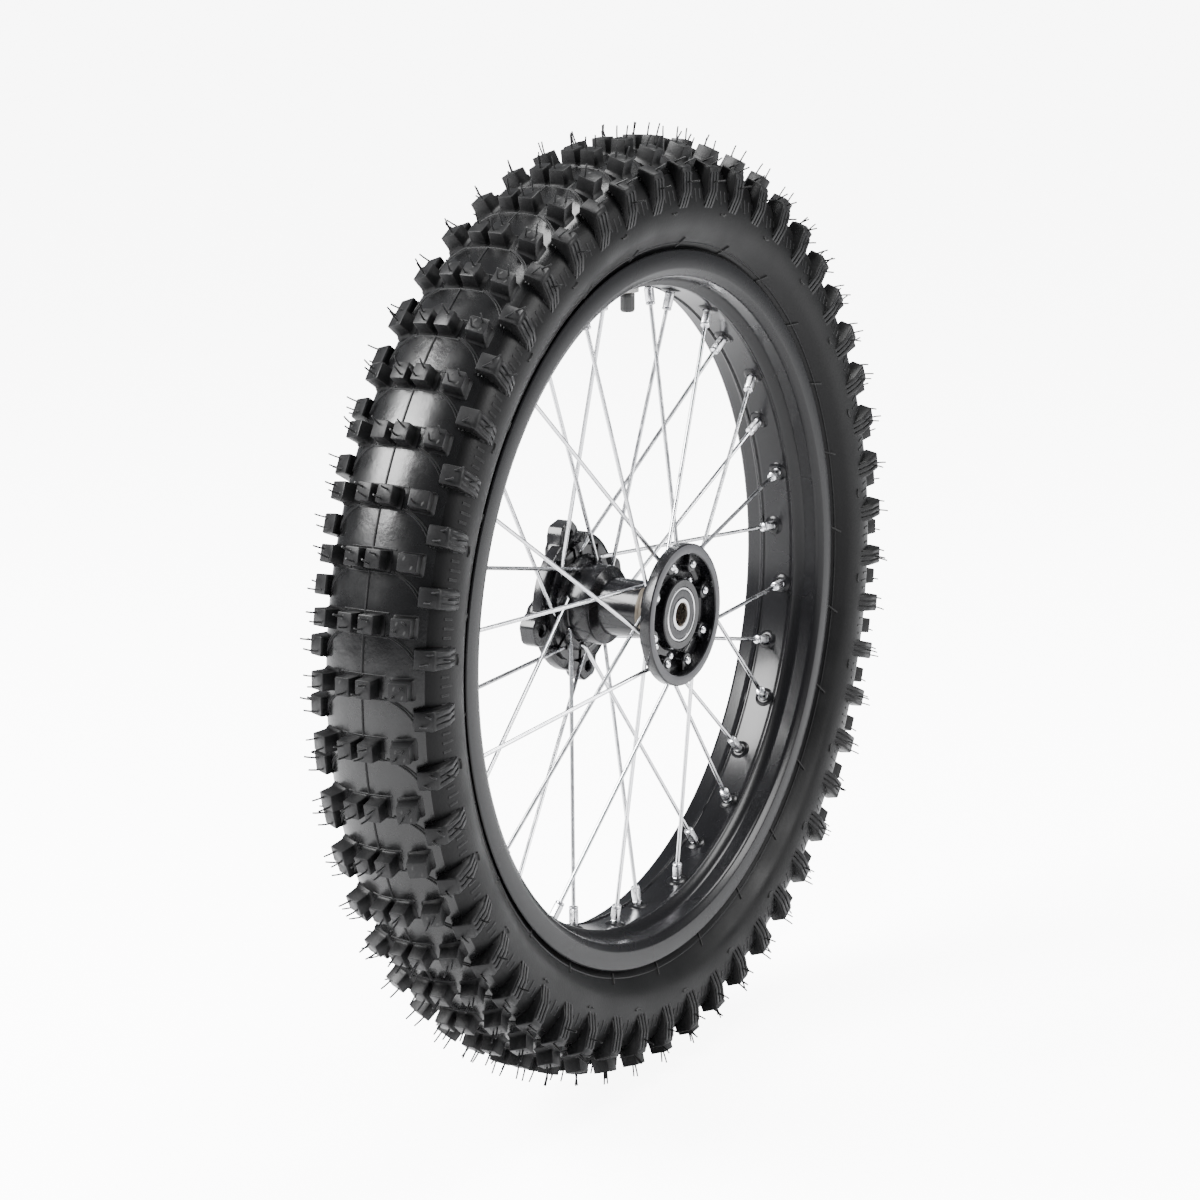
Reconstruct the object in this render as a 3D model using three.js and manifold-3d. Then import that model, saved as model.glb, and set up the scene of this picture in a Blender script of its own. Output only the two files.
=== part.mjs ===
// Spoked front wheel of a small dirt bike: millimetres, axle along Y, +Z up.
// The plain side of the hub faces -Y and the disc side faces +Y.
import * as THREE from 'three';
import Module from 'manifold-3d';

const wasm = await Module();
wasm.setup();

// Driving dimensions
const GAP = 0.35; // clearance kept between neighbouring pieces
const LIP_R = 229.5; // rim lip radius
const LIP_Y = 30; // half width over the rim lips
const SEAT_R = 216.5; // bead seat radius
const CHANNEL_R = 206.5; // hub side of the rim channel
const RIM_STEPS = 48;

const CROWN_R = 289.5; // tyre carcass radius at the centre line
const BLOCK_TOP_R = 299.5; // top of the centre tread blocks
const TREAD_PITCHES = 51;

const BEAD_GAP = 1; // between the bead and its seat, so that facets of both stay clear
const TUBE_SIDES = 8; // facets round the inner tube's section
const TUBE_STEPS = 32;

const SPOKE_COUNT = 32;
const WIRE_R = 1.35;
const SPOKE_HEAD_R = 2.5;
const NIPPLE_R = 2.9;
const SPOKE_SIDES = 5;
const RIM_HOLE_Y = 3.3; // offset of the rim holes from the centre line
const FIRST_RIM_HOLE = 73.125; // degrees; rim holes alternate between the two sides
const HUB_SHIFT = 45; // degrees between a spoke's rim hole and its hub hole
const INNER_HOLE = { r: 27.5, floor: 33.5, exit: 29 };
const OUTER_HOLE = { r: 33.5, floor: 39, exit: 35.5 };

const HUB_RIM_R = 45.5; // radius of the near flange
const HUB_FACE_Y = 43.3; // outer face of both flanges
const BARREL_R = 18.5;
const DRUM_R = 25.7; // far side, between the barrel and the flange
const HUB_STEPS = 32;
const EAR_COUNT = 4;
const EAR_START = 14; // degrees
const EAR_REACH = 55;
const EAR_WIDTH = 20;
const EAR_Y = 35.9; // inboard face of the disc lugs
const EAR_THICKNESS = 11.4;
const EAR_BOLT_R = 3.6;
const EAR_BOLT_CIRCLE = 46;

const BEARING_OD_R = 17.5;
const BEARING_BORE_R = 7.5;
const BEARING_WIDTH = 11;
const BEARING_FACE_Y = 40.5;
const BALL_R = 2.97;
const BALL_CIRCLE_R = 12.5;
const BALL_COUNT = 8;

const VALVE_R = 4; // threaded stem
const VALVE_TIP_R = 193.5; // distance from the axle to the stem's tip

const group = new THREE.Group();

/** Adds one named mesh with its own plain material. */
function addPart(name, geometry, color, roughness, metalness) {
  const material = new THREE.MeshStandardMaterial({ color, roughness, metalness });
  const mesh = new THREE.Mesh(geometry, material);
  mesh.name = name;
  group.add(mesh);
}

/** Merges a geometry's vertices and hands it to the solid kernel. */
function toSolid(geometry) {
  const positions = geometry.getAttribute('position');
  const index = geometry.getIndex();
  const keys = new Map();
  const vertices = [];
  const merged = [];
  for (let i = 0; i < positions.count; i += 1) {
    const point = [positions.getX(i), positions.getY(i), positions.getZ(i)];
    const key = point.map((value) => Math.round(value * 1e4)).join(',');
    if (!keys.has(key)) {
      keys.set(key, vertices.length / 3);
      vertices.push(...point);
    }
    merged.push(keys.get(key));
  }
  const triangles = [];
  const count = index ? index.count : positions.count;
  for (let i = 0; i < count; i += 3) {
    const corners = [0, 1, 2].map((k) => merged[index ? index.getX(i + k) : i + k]);
    if (new Set(corners).size === 3) triangles.push(...corners);
  }
  const mesh = new wasm.Mesh({
    numProp: 3,
    vertProperties: new Float32Array(vertices),
    triVerts: new Uint32Array(triangles),
  });
  return new wasm.Manifold(mesh);
}

/** Turns a kernel solid back into a geometry. */
function toGeometry(solid) {
  const mesh = solid.getMesh();
  const geometry = new THREE.BufferGeometry();
  geometry.setAttribute('position', new THREE.BufferAttribute(mesh.vertProperties, 3));
  geometry.setIndex(new THREE.BufferAttribute(mesh.triVerts, 1));
  geometry.computeVertexNormals();
  return geometry;
}

/** Revolves closed [radius, y] points about the wheel's axle. */
function ring(points, steps) {
  const loop = points.map(([r, y]) => new THREE.Vector2(r, y));
  const area = loop.reduce((sum, p, i) => sum + p.cross(loop[(i + 1) % loop.length]), 0);
  if (area < 0) loop.reverse();
  loop.push(loop[0].clone());
  return new THREE.LatheGeometry(loop, steps);
}

/** Mirrors an outline given for y >= 0 so that it closes over both sides. */
function bothSides(outer, inner) {
  const flip = (points) => points.map(([r, y]) => [r, -y]);
  return [
    ...outer,
    ...inner,
    ...flip(inner.slice(0, -1)).reverse(),
    ...flip(outer.slice(1)).reverse(),
  ];
}

/** Places geometry made at the origin at an angle round the axle. */
function atAngle(geometry, degrees) {
  return geometry.rotateY(THREE.MathUtils.degToRad(-degrees));
}

/** Point at a radius, an angle in the XZ plane and a distance along the axle. */
function polar(r, degrees, y) {
  const angle = THREE.MathUtils.degToRad(degrees);
  return new THREE.Vector3(r * Math.cos(angle), y, r * Math.sin(angle));
}

/** Cylinder lying along the axle. */
function axleCylinder(radius, yFrom, yTo, sides) {
  const geometry = new THREE.CylinderGeometry(radius, radius, yTo - yFrom, sides);
  return geometry.translate(0, (yFrom + yTo) / 2, 0);
}

/** Round turned piece along +X from [distance, radius] stations. */
function radialTurning(stations, sides) {
  const loop = stations.map(([x, r]) => new THREE.Vector2(r, x));
  return new THREE.LatheGeometry(loop, sides).rotateZ(-Math.PI / 2);
}

/** Sweeps a polygon of changing radius along a path: stations are { point, along, r }. */
function taperedSweep(stations, sides) {
  const vertices = [];
  const triangles = [];
  let side = new THREE.Vector3(0, 1, 0).cross(stations[0].along);
  if (side.length() < 0.1) side = new THREE.Vector3(0, 0, 1).cross(stations[0].along);
  stations.forEach(({ point, along, r }) => {
    const direction = along.clone().normalize();
    side.addScaledVector(direction, -side.dot(direction)).normalize();
    const up = direction.clone().cross(side);
    for (let k = 0; k < sides; k += 1) {
      const angle = (2 * Math.PI * k) / sides;
      const corner = point.clone().addScaledVector(side, r * Math.cos(angle));
      corner.addScaledVector(up, r * Math.sin(angle));
      vertices.push(corner.x, corner.y, corner.z);
    }
  });
  for (let i = 0; i + 1 < stations.length; i += 1) {
    for (let k = 0; k < sides; k += 1) {
      const a = i * sides + k;
      const b = i * sides + ((k + 1) % sides);
      triangles.push(a, b, b + sides, a, b + sides, a + sides);
    }
  }
  const last = (stations.length - 1) * sides;
  for (let k = 1; k + 1 < sides; k += 1) {
    triangles.push(0, k + 1, k, last, last + k, last + k + 1);
  }
  const geometry = new THREE.BufferGeometry();
  geometry.setAttribute('position', new THREE.Float32BufferAttribute(vertices, 3));
  geometry.setIndex(triangles);
  geometry.computeVertexNormals();
  return geometry;
}

// Spokes: each leaves its flange on the inboard side, bends and runs to the rim.
function spokeLayout(index) {
  const side = index % 2 === 0 ? 1 : -1;
  const pair = Math.floor(index / 2);
  const rimAngle = FIRST_RIM_HOLE + (index * 360) / SPOKE_COUNT;
  const shift = pair % 2 === 0 ? -HUB_SHIFT : HUB_SHIFT;
  const hole = pair % 2 === 0 ? INNER_HOLE : OUTER_HOLE;
  return { side, rimAngle, hubAngle: rimAngle + shift, hole };
}

function spoke(index) {
  const { side, rimAngle, hubAngle, hole } = spokeLayout(index);
  const outward = new THREE.Vector3(0, side, 0);
  const head = polar(hole.r, hubAngle, side * (hole.floor + GAP));
  const bend = polar(hole.r, hubAngle, side * (hole.exit - WIRE_R - GAP));
  const rimPoint = polar(CHANNEL_R, rimAngle, side * RIM_HOLE_Y);
  const wire = rimPoint.clone().sub(bend).normalize();
  const inward = outward.clone().negate();
  const mitre = inward.clone().add(wire).normalize();
  const along = (distance) => rimPoint.clone().addScaledVector(wire, distance);
  const stations = [
    { point: head.clone().addScaledVector(outward, 2), along: inward, r: SPOKE_HEAD_R * 0.7 },
    { point: head.clone().addScaledVector(outward, 0.9), along: inward, r: SPOKE_HEAD_R },
    { point: head.clone(), along: inward, r: SPOKE_HEAD_R },
    { point: head.clone().addScaledVector(inward, 0.05), along: inward, r: WIRE_R },
    { point: bend, along: mitre, r: WIRE_R },
    { point: along(-14), along: wire, r: WIRE_R },
    { point: along(-13.9), along: wire, r: NIPPLE_R },
    { point: along(-2), along: wire, r: NIPPLE_R },
    { point: along(-1.9), along: wire, r: NIPPLE_R - 0.6 },
    { point: along(2.6), along: wire, r: NIPPLE_R - 0.6 },
  ];
  return taperedSweep(stations, SPOKE_SIDES);
}

// Rim
function rim() {
  const outer = [
    [SEAT_R - 6.5, 0],
    [SEAT_R - 6.5, 10],
    [SEAT_R - 1, 16],
    [SEAT_R, 26.6],
    [LIP_R, 28.4],
    [LIP_R - 0.8, LIP_Y],
    [SEAT_R + 0.5, LIP_Y],
  ];
  const inner = [
    [SEAT_R - 3.5, 28],
    [SEAT_R - 4.2, 16.5],
    [CHANNEL_R, 11],
    [CHANNEL_R, 0],
  ];
  let solid = toSolid(ring(bothSides(outer, inner), RIM_STEPS));
  const holes = [];
  for (let i = 0; i < SPOKE_COUNT; i += 1) {
    const { side, rimAngle, hubAngle, hole } = spokeLayout(i);
    const bend = polar(hole.r, hubAngle, side * (hole.exit - WIRE_R - GAP));
    const rimPoint = polar(CHANNEL_R, rimAngle, side * RIM_HOLE_Y);
    const wire = rimPoint.clone().sub(bend).normalize();
    const stations = [-6, 8].map((distance) => ({
      point: rimPoint.clone().addScaledVector(wire, distance),
      along: wire,
      r: NIPPLE_R + 0.25,
    }));
    holes.push(toSolid(taperedSweep(stations, SPOKE_SIDES)));
  }
  const valveHole = radialTurning([[190, 0], [190, 4.6], [220, 4.6], [220, 0]], 10);
  holes.push(toSolid(atAngle(valveHole, 90)));
  holes.forEach((hole) => {
    solid = solid.subtract(hole);
  });
  return toGeometry(solid);
}

// Tyre: U-shaped carcass with centre blocks and shoulder blocks
function carcass() {
  const outer = [
    [CROWN_R, 0],
    [CROWN_R - 1, 13],
    [284.5, 26],
    [279.5, 31.5],
    [268.5, 38.6],
    [255, 39.4],
    [236, 31],
    [231, 27.4],
    [SEAT_R + 2, 25.6],
  ];
  const inner = [
    [SEAT_R + BEAD_GAP, 24],
    [SEAT_R + BEAD_GAP, 18.5],
    [255, 34.6],
    [281, 19],
    [283.5, 0],
  ];
  return toSolid(ring(bothSides(outer, inner), TREAD_PITCHES));
}

/** Tapered tread block standing on the carcass; `from` and `to` are [radius, y]. */
function treadBlock(from, to, width, length, degrees) {
  const foot = new THREE.Vector3(from[0], from[1], 0);
  const top = new THREE.Vector3(to[0], to[1], 0);
  const axis = top.clone().sub(foot);
  const block = new THREE.CylinderGeometry(0.66, 0.74, axis.length(), 4, 1);
  block.rotateY(Math.PI / 4);
  block.scale(width, 1, length);
  const turn = new THREE.Quaternion();
  turn.setFromUnitVectors(new THREE.Vector3(0, 1, 0), axis.clone().normalize());
  block.applyQuaternion(turn);
  block.translate(...foot.add(top).multiplyScalar(0.5).toArray());
  return toSolid(atAngle(block, degrees));
}

function tyre() {
  const pitch = 360 / TREAD_PITCHES;
  const blocks = [];
  for (let i = 0; i < TREAD_PITCHES; i += 1) {
    const row = 90 - (i + 0.5) * pitch;
    blocks.push(treadBlock([286, 0], [BLOCK_TOP_R, 0], 21, 12.8, row));
    [-1, 1].forEach((side) => {
      blocks.push(treadBlock([271.6, side * 33.2], [279.6, side * 39.2], 9, 11.5, row + pitch / 2));
    });
  }
  return toGeometry(wasm.Manifold.union([carcass(), ...blocks]));
}

// Inner tube, with an opening under the valve, and the rim band
function innerTube() {
  const section = (grow) => {
    const points = [];
    for (let k = 0; k < TUBE_SIDES; k += 1) {
      const angle = (2 * Math.PI * (k + 0.5)) / TUBE_SIDES;
      const flare = 1 + 0.28 * Math.sin(angle);
      points.push([251 + (29.5 + grow) * Math.sin(angle), (25 + grow) * flare * Math.cos(angle)]);
    }
    return points;
  };
  const outside = toSolid(ring(section(0), TUBE_STEPS));
  const wall = outside.subtract(toSolid(ring(section(-2), TUBE_STEPS)));
  const opening = radialTurning([[200, 0], [200, 2.6], [235, 2.6], [235, 0]], 10);
  return toGeometry(wall.subtract(toSolid(atAngle(opening, 90))));
}

function rimBand() {
  const band = toSolid(ring([[210.4, -9], [210.4, 9], [211.6, 9], [211.6, -9]], RIM_STEPS));
  const opening = radialTurning([[200, 0], [200, 5.2], [220, 5.2], [220, 0]], 10);
  return toGeometry(band.subtract(toSolid(atAngle(opening, 90))));
}

// Valve: a tube stem with a foot under the inner tube, core, hex nut and cap
function valveStem() {
  const stem = [
    [VALVE_TIP_R, 2.4],
    [VALVE_TIP_R, VALVE_R - 0.6],
    [217, VALVE_R - 0.6],
    [218, 9],
    [221, 9],
    [221, 2.4],
    [VALVE_TIP_R, 2.4],
  ];
  return atAngle(radialTurning(stem, 14), 90);
}

function valveCore() {
  const core = [[195, 0], [195, 1], [199, 1], [199, 2], [214, 2], [214, 0]];
  return atAngle(radialTurning(core, 8), 90);
}

function valveNut() {
  const bore = radialTurning([[199, 0], [199, 3.7], [208, 3.7], [208, 0]], 14);
  const body = radialTurning([[201.6, 0], [201.6, 6.4], [205.9, 6.4], [205.9, 0]], 6);
  return atAngle(toGeometry(toSolid(body).subtract(toSolid(bore))), 90);
}

function valveCap() {
  const cap = [
    [189.4, 0],
    [189.4, 4],
    [190.4, 4.6],
    [201, 4.6],
    [201, 3.7],
    [192.4, 3.7],
    [192.4, 0],
  ];
  return atAngle(radialTurning(cap, 16), 90);
}

// Hub
/** Casting's section: a tapered root on the near side and a drum on the far side. */
function hubProfile() {
  const seatR = BEARING_OD_R + GAP;
  const seatEnd = BEARING_FACE_Y - BEARING_WIDTH - GAP;
  const nearRoot = [
    [BARREL_R, 20],
    [23.5, 23],
    [26, INNER_HOLE.exit],
  ];
  const drum = [
    [BARREL_R, 10.5],
    [DRUM_R, 13.5],
    [DRUM_R, INNER_HOLE.exit],
  ];
  const flange = [
    [29.5, INNER_HOLE.exit],
    [31.5, OUTER_HOLE.exit],
    [HUB_RIM_R - 1.5, OUTER_HOLE.exit],
    [HUB_RIM_R, OUTER_HOLE.exit + 1.5],
    [HUB_RIM_R, HUB_FACE_Y],
    [HUB_RIM_R - 6.5, HUB_FACE_Y],
    [HUB_RIM_R - 7.5, OUTER_HOLE.floor],
    [30.8, OUTER_HOLE.floor],
    [30.2, INNER_HOLE.floor],
    [23.4, INNER_HOLE.floor],
    [22.5, BEARING_FACE_Y],
    [seatR, BEARING_FACE_Y],
    [seatR, seatEnd],
    [15, seatEnd],
  ];
  const near = [...nearRoot, ...flange].map(([r, y]) => [r, -y]).reverse();
  return ring([...near, ...drum, ...flange], HUB_STEPS);
}

/** Lug of the disc side with its bolt hole. */
function discEar(degrees) {
  const half = EAR_WIDTH / 2;
  const shape = new THREE.Shape();
  shape.moveTo(39, -half - 5);
  shape.lineTo(EAR_REACH - 3, -half + 1);
  shape.lineTo(EAR_REACH, -half + 4);
  shape.lineTo(EAR_REACH, half - 4);
  shape.lineTo(EAR_REACH - 3, half - 1);
  shape.lineTo(39, half + 5);
  const ear = new THREE.ExtrudeGeometry(shape, { depth: EAR_THICKNESS, bevelEnabled: false });
  ear.rotateX(Math.PI / 2).translate(0, EAR_Y + EAR_THICKNESS, 0);
  const bolt = axleCylinder(EAR_BOLT_R, 20, 60, 10).translate(EAR_BOLT_CIRCLE, 0, 0);
  return {
    body: toSolid(atAngle(ear, degrees)),
    bolt: toSolid(atAngle(bolt, degrees)),
  };
}

function hubShell() {
  let solid = toSolid(hubProfile());
  const spigot = ring([[37.5, 42], [40.5, 42], [40.5, 46.3], [37.5, 46.3]], HUB_STEPS);
  solid = solid.add(toSolid(spigot));
  for (let i = 0; i < EAR_COUNT; i += 1) {
    const ear = discEar(EAR_START + (i * 360) / EAR_COUNT);
    solid = solid.add(ear.body).subtract(ear.bolt);
  }
  for (let i = 0; i < SPOKE_COUNT; i += 1) {
    const { side, hubAngle, hole } = spokeLayout(i);
    const drill = axleCylinder(WIRE_R + 0.25, 22, 41, SPOKE_SIDES);
    drill.scale(1, side, 1);
    const centre = polar(hole.r, hubAngle, 0);
    const placed = side > 0 ? drill : flipWinding(drill);
    solid = solid.subtract(toSolid(placed.translate(centre.x, 0, centre.z)));
  }
  return toGeometry(solid);
}

/** Restores outward faces after a mirroring scale. */
function flipWinding(geometry) {
  const index = geometry.getIndex();
  for (let i = 0; i < index.count; i += 3) {
    const first = index.getX(i);
    index.setX(i, index.getX(i + 1));
    index.setX(i + 1, first);
  }
  return geometry;
}

// Bearings and the tube between them
function spacerTube() {
  const end = BEARING_FACE_Y - BEARING_WIDTH - GAP;
  return ring([[BEARING_BORE_R + 0.2, -end], [10, -end], [10, end], [BEARING_BORE_R + 0.2, end]], 24);
}

/** Adds the five pieces of one sealed ball bearing; side is -1 or 1. */
function addBearing(prefix, side) {
  const outerFace = BEARING_FACE_Y;
  const innerFace = BEARING_FACE_Y - BEARING_WIDTH;
  const middle = (outerFace + innerFace) / 2;
  const place = (points, steps) => ring(points.map(([r, y]) => [r, side * y]), steps);
  const groove = (r, depth, from) => [
    [r, middle + from],
    [r + depth, middle + 1.4],
    [r + depth, middle - 1.4],
    [r, middle - from],
  ];
  const outerRace = [
    [BEARING_OD_R, outerFace],
    [14.9, outerFace],
    ...groove(14.6, 1.3, 2.7),
    [14.9, innerFace],
    [BEARING_OD_R, innerFace],
  ];
  const innerRace = [
    [BEARING_BORE_R, outerFace],
    [10.2, outerFace],
    ...groove(10.4, -1.3, 2.7),
    [10.2, innerFace],
    [BEARING_BORE_R, innerFace],
  ];
  addPart(`${prefix}_outer_race`, place(outerRace, 24), 0xb8bcc0, 0.25, 1);
  addPart(`${prefix}_inner_race`, place(innerRace, 24), 0xb8bcc0, 0.25, 1);
  const seal = (y) => [[10.9, y], [14.2, y], [14.2, y - 0.8], [10.9, y - 0.8]];
  addPart(`${prefix}_outer_seal`, place(seal(outerFace - 0.3), 16), 0x3a3a3a, 0.7, 0);
  addPart(`${prefix}_inner_seal`, place(seal(innerFace + 1.1), 16), 0x3a3a3a, 0.7, 0);
  const band = [
    [BALL_CIRCLE_R + 0.8, middle + 1.3],
    [BALL_CIRCLE_R + 0.8, middle - 1.3],
    [BALL_CIRCLE_R - 0.8, middle - 1.3],
    [BALL_CIRCLE_R - 0.8, middle + 1.3],
  ];
  let cage = toSolid(place(band, 16));
  for (let i = 0; i < BALL_COUNT; i += 1) {
    const centre = polar(BALL_CIRCLE_R, (i * 360) / BALL_COUNT, side * middle);
    const ball = new THREE.SphereGeometry(BALL_R, 6, 4).translate(centre.x, centre.y, centre.z);
    cage = cage.add(toSolid(ball));
  }
  addPart(`${prefix}_ball_cage`, toGeometry(cage), 0x9a9da0, 0.3, 1);
}

// Assembly
addPart('rim', rim(), 0x15161a, 0.3, 0.5);
addPart('tyre', tyre(), 0x1c1c1d, 0.7, 0);
addPart('inner_tube', innerTube(), 0x222222, 0.8, 0);
addPart('rim_band', rimBand(), 0x2a2a2a, 0.8, 0);
addPart('valve_stem', valveStem(), 0xb08d45, 0.35, 1);
addPart('valve_core', valveCore(), 0xc0a060, 0.35, 1);
addPart('valve_nut', valveNut(), 0xb89a5a, 0.35, 1);
addPart('valve_cap', valveCap(), 0x151515, 0.5, 0);
addPart('hub_shell', hubShell(), 0x17181a, 0.3, 0.3);
addPart('spacer_tube', spacerTube(), 0x8a7a66, 0.5, 1);
addBearing('near_bearing', -1);
addBearing('far_bearing', 1);
for (let i = 0; i < SPOKE_COUNT; i += 1) {
  const name = `spoke_${String(i + 1).padStart(2, '0')}`;
  addPart(name, spoke(i), 0xc9ccd0, 0.2, 1);
}

export default group;
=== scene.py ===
"""Looks of a small dirt bike's spoked front wheel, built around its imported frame.

The axle lies along Y, the wheel's centre is the origin and the valve stands at +Z. Sizes in the
classes are millimetres; meshes are written in metres. Angles run from +X towards +Z in degrees.
"""

import logging
import math
from dataclasses import dataclass, field
from enum import Enum
from typing import Callable, Dict, List, Optional, Sequence, Tuple

import bmesh
import bpy
from mathutils import Matrix, Vector


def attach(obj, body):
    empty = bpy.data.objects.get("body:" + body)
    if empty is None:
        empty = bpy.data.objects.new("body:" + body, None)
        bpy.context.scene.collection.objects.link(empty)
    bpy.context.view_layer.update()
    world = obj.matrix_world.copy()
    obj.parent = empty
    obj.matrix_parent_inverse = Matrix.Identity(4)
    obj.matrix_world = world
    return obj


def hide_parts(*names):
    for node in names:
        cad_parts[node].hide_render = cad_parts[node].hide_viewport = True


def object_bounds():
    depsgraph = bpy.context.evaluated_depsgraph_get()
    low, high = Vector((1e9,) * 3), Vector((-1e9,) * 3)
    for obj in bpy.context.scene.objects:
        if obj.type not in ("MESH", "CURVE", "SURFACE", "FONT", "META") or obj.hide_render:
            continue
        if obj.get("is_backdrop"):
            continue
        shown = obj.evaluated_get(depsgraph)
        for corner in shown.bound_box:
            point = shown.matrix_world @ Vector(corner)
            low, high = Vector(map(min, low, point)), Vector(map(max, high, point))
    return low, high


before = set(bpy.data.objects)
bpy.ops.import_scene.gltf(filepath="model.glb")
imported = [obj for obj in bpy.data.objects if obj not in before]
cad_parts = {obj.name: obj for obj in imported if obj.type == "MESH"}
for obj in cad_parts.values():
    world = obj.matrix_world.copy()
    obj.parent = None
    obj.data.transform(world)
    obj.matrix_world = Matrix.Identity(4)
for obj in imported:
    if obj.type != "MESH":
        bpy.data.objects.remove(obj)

Outline = List[Tuple[float, float]]
Loop = List[Vector]

MM = 0.001
LOG = logging.getLogger("wheel")


class Body(Enum):
    """Rigid bodies of the frame that pieces ride on."""

    AXLE = "axle_set"
    WHEEL = "wheel"
    NEAR_CAGE = "near_cage"
    FAR_CAGE = "far_cage"
    CAP = "cap"


class Side(Enum):
    """Sides of the wheel along its axle."""

    NEAR = -1
    FAR = 1


# Finishes


@dataclass(frozen=True)
class Finish:
    """A procedural finish: two tones mixed by noise, uneven gloss, a fine bump and optional painted
    highlights on convex edges.
    """

    name: str
    slot: str
    tone: Tuple[float, float, float]
    second_tone: Tuple[float, float, float]
    roughness: float
    roughness_spread: float = 0.08
    metallic: float = 0.0
    patch_scale: float = 60.0
    grain_scale: float = 900.0
    grain_height: float = 0.00003
    patch_height: float = 0.0
    streak: Tuple[float, float, float] = (1.0, 1.0, 1.0)
    coat: float = 0.0
    coat_roughness: float = 0.1
    specular: float = 0.5
    # painted highlight: share of grey mixed into the colour on convex edges
    painted_edge_highlight: float = 0.0

    def material(self) -> bpy.types.Material:
        """Builds the finish's node material once and hands it out again later.

        Returns:
            The material of this finish.
        """
        known = bpy.data.materials.get(self.name)
        if known:
            return known
        material = bpy.data.materials.new(self.name)
        material.use_nodes = True
        nodes = material.node_tree.nodes
        links = material.node_tree.links
        shader = nodes["Principled BSDF"]
        shader.inputs["Metallic"].default_value = self.metallic
        shader.inputs["Coat Weight"].default_value = self.coat
        shader.inputs["Coat Roughness"].default_value = self.coat_roughness
        shader.inputs["Specular IOR Level"].default_value = self.specular
        place = nodes.new("ShaderNodeTexCoord")
        mapping = nodes.new("ShaderNodeMapping")
        mapping.inputs["Scale"].default_value = self.streak
        links.new(place.outputs["Object"], mapping.inputs["Vector"])
        patches = self._noise(nodes, links, mapping, self.patch_scale, 4.0)
        grain = self._noise(nodes, links, mapping, self.grain_scale, 2.0)
        tones = nodes.new("ShaderNodeMix")
        tones.data_type = "RGBA"
        tones.inputs["A"].default_value = (*self.tone, 1.0)
        tones.inputs["B"].default_value = (*self.second_tone, 1.0)
        links.new(patches.outputs["Fac"], tones.inputs["Factor"])
        links.new(self._paint_edge_highlights(nodes, links, tones), shader.inputs["Base Color"])
        gloss = nodes.new("ShaderNodeMapRange")
        gloss.inputs["From Min"].default_value = 0.3
        gloss.inputs["From Max"].default_value = 0.7
        gloss.inputs["To Min"].default_value = self.roughness - self.roughness_spread
        gloss.inputs["To Max"].default_value = self.roughness + self.roughness_spread
        links.new(patches.outputs["Fac"], gloss.inputs["Value"])
        links.new(gloss.outputs["Result"], shader.inputs["Roughness"])
        fine = nodes.new("ShaderNodeBump")
        fine.inputs["Distance"].default_value = self.grain_height
        links.new(grain.outputs["Fac"], fine.inputs["Height"])
        coarse = nodes.new("ShaderNodeBump")
        coarse.inputs["Distance"].default_value = self.patch_height
        links.new(patches.outputs["Fac"], coarse.inputs["Height"])
        links.new(fine.outputs["Normal"], coarse.inputs["Normal"])
        links.new(coarse.outputs["Normal"], shader.inputs["Normal"])
        return material

    @staticmethod
    def _noise(
        nodes: bpy.types.Nodes,
        links: bpy.types.NodeLinks,
        mapping: bpy.types.Node,
        scale: float,
        detail: float,
    ) -> bpy.types.Node:
        """Adds a noise texture on the mapped object coordinates.

        Args:
            nodes: The material's nodes.
            links: The material's links.
            mapping: Node that gives the coordinates.
            scale: Scale of the noise.
            detail: Detail of the noise.

        Returns:
            The noise node.
        """
        noise = nodes.new("ShaderNodeTexNoise")
        noise.inputs["Scale"].default_value = scale
        noise.inputs["Detail"].default_value = detail
        links.new(mapping.outputs["Vector"], noise.inputs["Vector"])
        return noise

    def _paint_edge_highlights(
        self, nodes: bpy.types.Nodes, links: bpy.types.NodeLinks, tones: bpy.types.Node
    ) -> bpy.types.NodeSocket:
        """Paints highlights on convex edges, lightening them towards grey where the finish asks for
        it.

        Args:
            nodes: The material's nodes.
            links: The material's links.
            tones: Mix node of the finish's two tones.

        Returns:
            The socket that carries the colour.
        """
        if self.painted_edge_highlight <= 0.0:
            return tones.outputs["Result"]
        # painted highlight: convex edges, found by Pointiness, are lightened towards grey
        geometry = nodes.new("ShaderNodeNewGeometry")
        edge = nodes.new("ShaderNodeMapRange")
        edge.inputs["From Min"].default_value = 0.52
        edge.inputs["From Max"].default_value = 0.62
        edge.inputs["To Max"].default_value = self.painted_edge_highlight
        links.new(geometry.outputs["Pointiness"], edge.inputs["Value"])
        edge_highlighted = nodes.new("ShaderNodeMix")
        edge_highlighted.data_type = "RGBA"
        edge_highlighted.inputs["B"].default_value = (0.3, 0.3, 0.31, 1.0)
        links.new(edge.outputs["Result"], edge_highlighted.inputs["Factor"])
        links.new(tones.outputs["Result"], edge_highlighted.inputs["A"])
        return edge_highlighted.outputs["Result"]


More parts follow.
